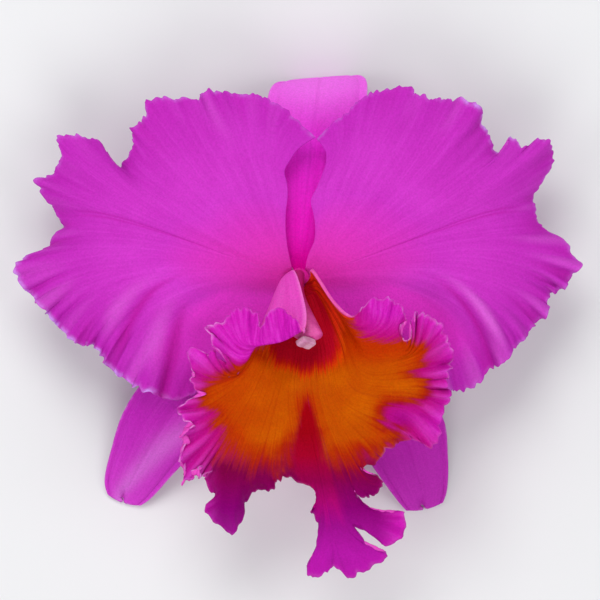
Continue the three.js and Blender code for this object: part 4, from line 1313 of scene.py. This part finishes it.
# %% The pollinia
GRAIN_PLACES, GRAIN_SPACING, GRAIN_RADII = (-1.5, -0.5, 0.5, 1.5), 0.62, (0.36, 0.55, 0.62)
STRAP_RADII = (1.15, 0.24, 0.3)

across, beyond, down = CAP_CENTRE
grains = [ball_at_tip("strap", (across, beyond + 0.3, down), STRAP_RADII)]
for place in GRAIN_PLACES:
    centre = (across + place * GRAIN_SPACING, beyond + 0.6, down)
    grains.append(ball_at_tip("grain", centre, GRAIN_RADII))
pick(*grains)
bpy.ops.object.join()
pollinia = bpy.context.object
pollinia.name = "pollen_grains"
apply_modifier(pollinia, "REMESH", mode="VOXEL", voxel_size=0.06 * MM)
apply_modifier(pollinia, "SMOOTH", iterations=3)
bpy.ops.object.shade_smooth()
print("pollinia", len(pollinia.data.polygons), "faces")


# %% [markdown]
# Below the heart, the ovary and its stalk are one: a green club with six ribs, where the seed would grow,
# that bends down behind the bloom and thins to the round stalk that was cut. It grows as the column did. The
# ribs are then drawn out along it, and the cut end shows the paler flesh, inside a rind that stands proud.

# %% The ovary and the stalk
stalk_axis = curve_through([
    [-0.3, -3, 0.6], [-0.3, -3, -3.5], [-0.2, -3.3, -8.5], [0.3, -6.6, -16.5],
    [1.2, -14.8, -23.4], [2.3, -27, -27.2], [3.2, -40, -27.8], [4, -54, -27.8],
])
RECEPTACLE_RADIUS, OVARY_RADIUS, STALK_RADIUS = 3.0, 2.9, 2.3
OVARY_FROM, OVARY_TO = (0.1, 0.2), (0.3, 0.75)  # where along the axis the ovary begins and fades out
OVARY_RIBS, OVARY_RIB_HEIGHT = 6, 0.3
STALK_STEPS, STALK_SIDES = 60, 48
RIND, SUNK = 0.5, 0.3

stalk_rings = []
for along in np.linspace(0, 1, STALK_STEPS):
    body = OVARY_RADIUS + (STALK_RADIUS - OVARY_RADIUS) * step(*OVARY_TO, along)
    radius = RECEPTACLE_RADIUS + (body - RECEPTACLE_RADIUS) * step(*OVARY_FROM, along)
    stalk_rings.append((radius, radius))
stalk = grow("ribbed_stalk", stalk_axis, stalk_rings, STALK_SIDES)
for index, vertex in enumerate(stalk.data.vertices):
    ring, side = divmod(index, STALK_SIDES)
    along = ring / (STALK_STEPS - 1)
    rib = OVARY_RIB_HEIGHT * plateau(*OVARY_FROM, *OVARY_TO, along)
    rib *= math.cos(2 * math.pi * OVARY_RIBS * side / STALK_SIDES)
    vertex.co += (vertex.co - spot_on(stalk_axis, along)).normalized() * MM * float(rib)

# %% The cut end
mode("EDIT")
bpy.ops.mesh.select_mode(type="FACE")
bpy.ops.mesh.select_all(action="DESELECT")
mode("OBJECT")
for polygon in stalk.data.polygons:
    polygon.select = (polygon.center - spot_on(stalk_axis, 1.0)).length < 0.5 * MM
mode("EDIT")
bpy.ops.mesh.inset(thickness=RIND * MM)
bpy.ops.mesh.extrude_region_move(TRANSFORM_OT_translate={"value": (0, SUNK * MM, 0)})
bpy.ops.mesh.inset(thickness=RIND * MM)
mode("OBJECT")
is_flesh = [float(index >= (STALK_STEPS + 1) * STALK_SIDES) for index in range(len(stalk.data.vertices))]
stalk.data.attributes.new("cut", "FLOAT", "POINT").data.foreach_set("value", is_flesh)
round_off(stalk)
settle(stalk)


# %% Every piece takes the place of its solid, and every slot its material
PIECES = {
    **{node: (piece, "petal_tissue") for node, piece in petals.items()},
    **{node: (piece, "sepal_tissue") for node, piece in sepals.items()},
    "lip": (lip, "lip_tissue"),
    "column": (column, "column_tissue"),
    "anther_cap": (cap, "anther_tissue"),
    "pollinia": (pollinia, "pollen_wax"),
    "ovary_and_stalk": (stalk, "stalk_tissue"),
}
for piece, material in ((column, column_skin), (cap, cap_skin), (pollinia, pollen_wax), (stalk, stalk_skin)):
    piece.data.materials.clear()
    piece.data.materials.append(material)
for node, (piece, slot) in PIECES.items():
    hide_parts(node)
    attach(piece, "root")
print("about", sum(2 * len(piece.data.polygons) for piece, _ in PIECES.values()), "triangles")
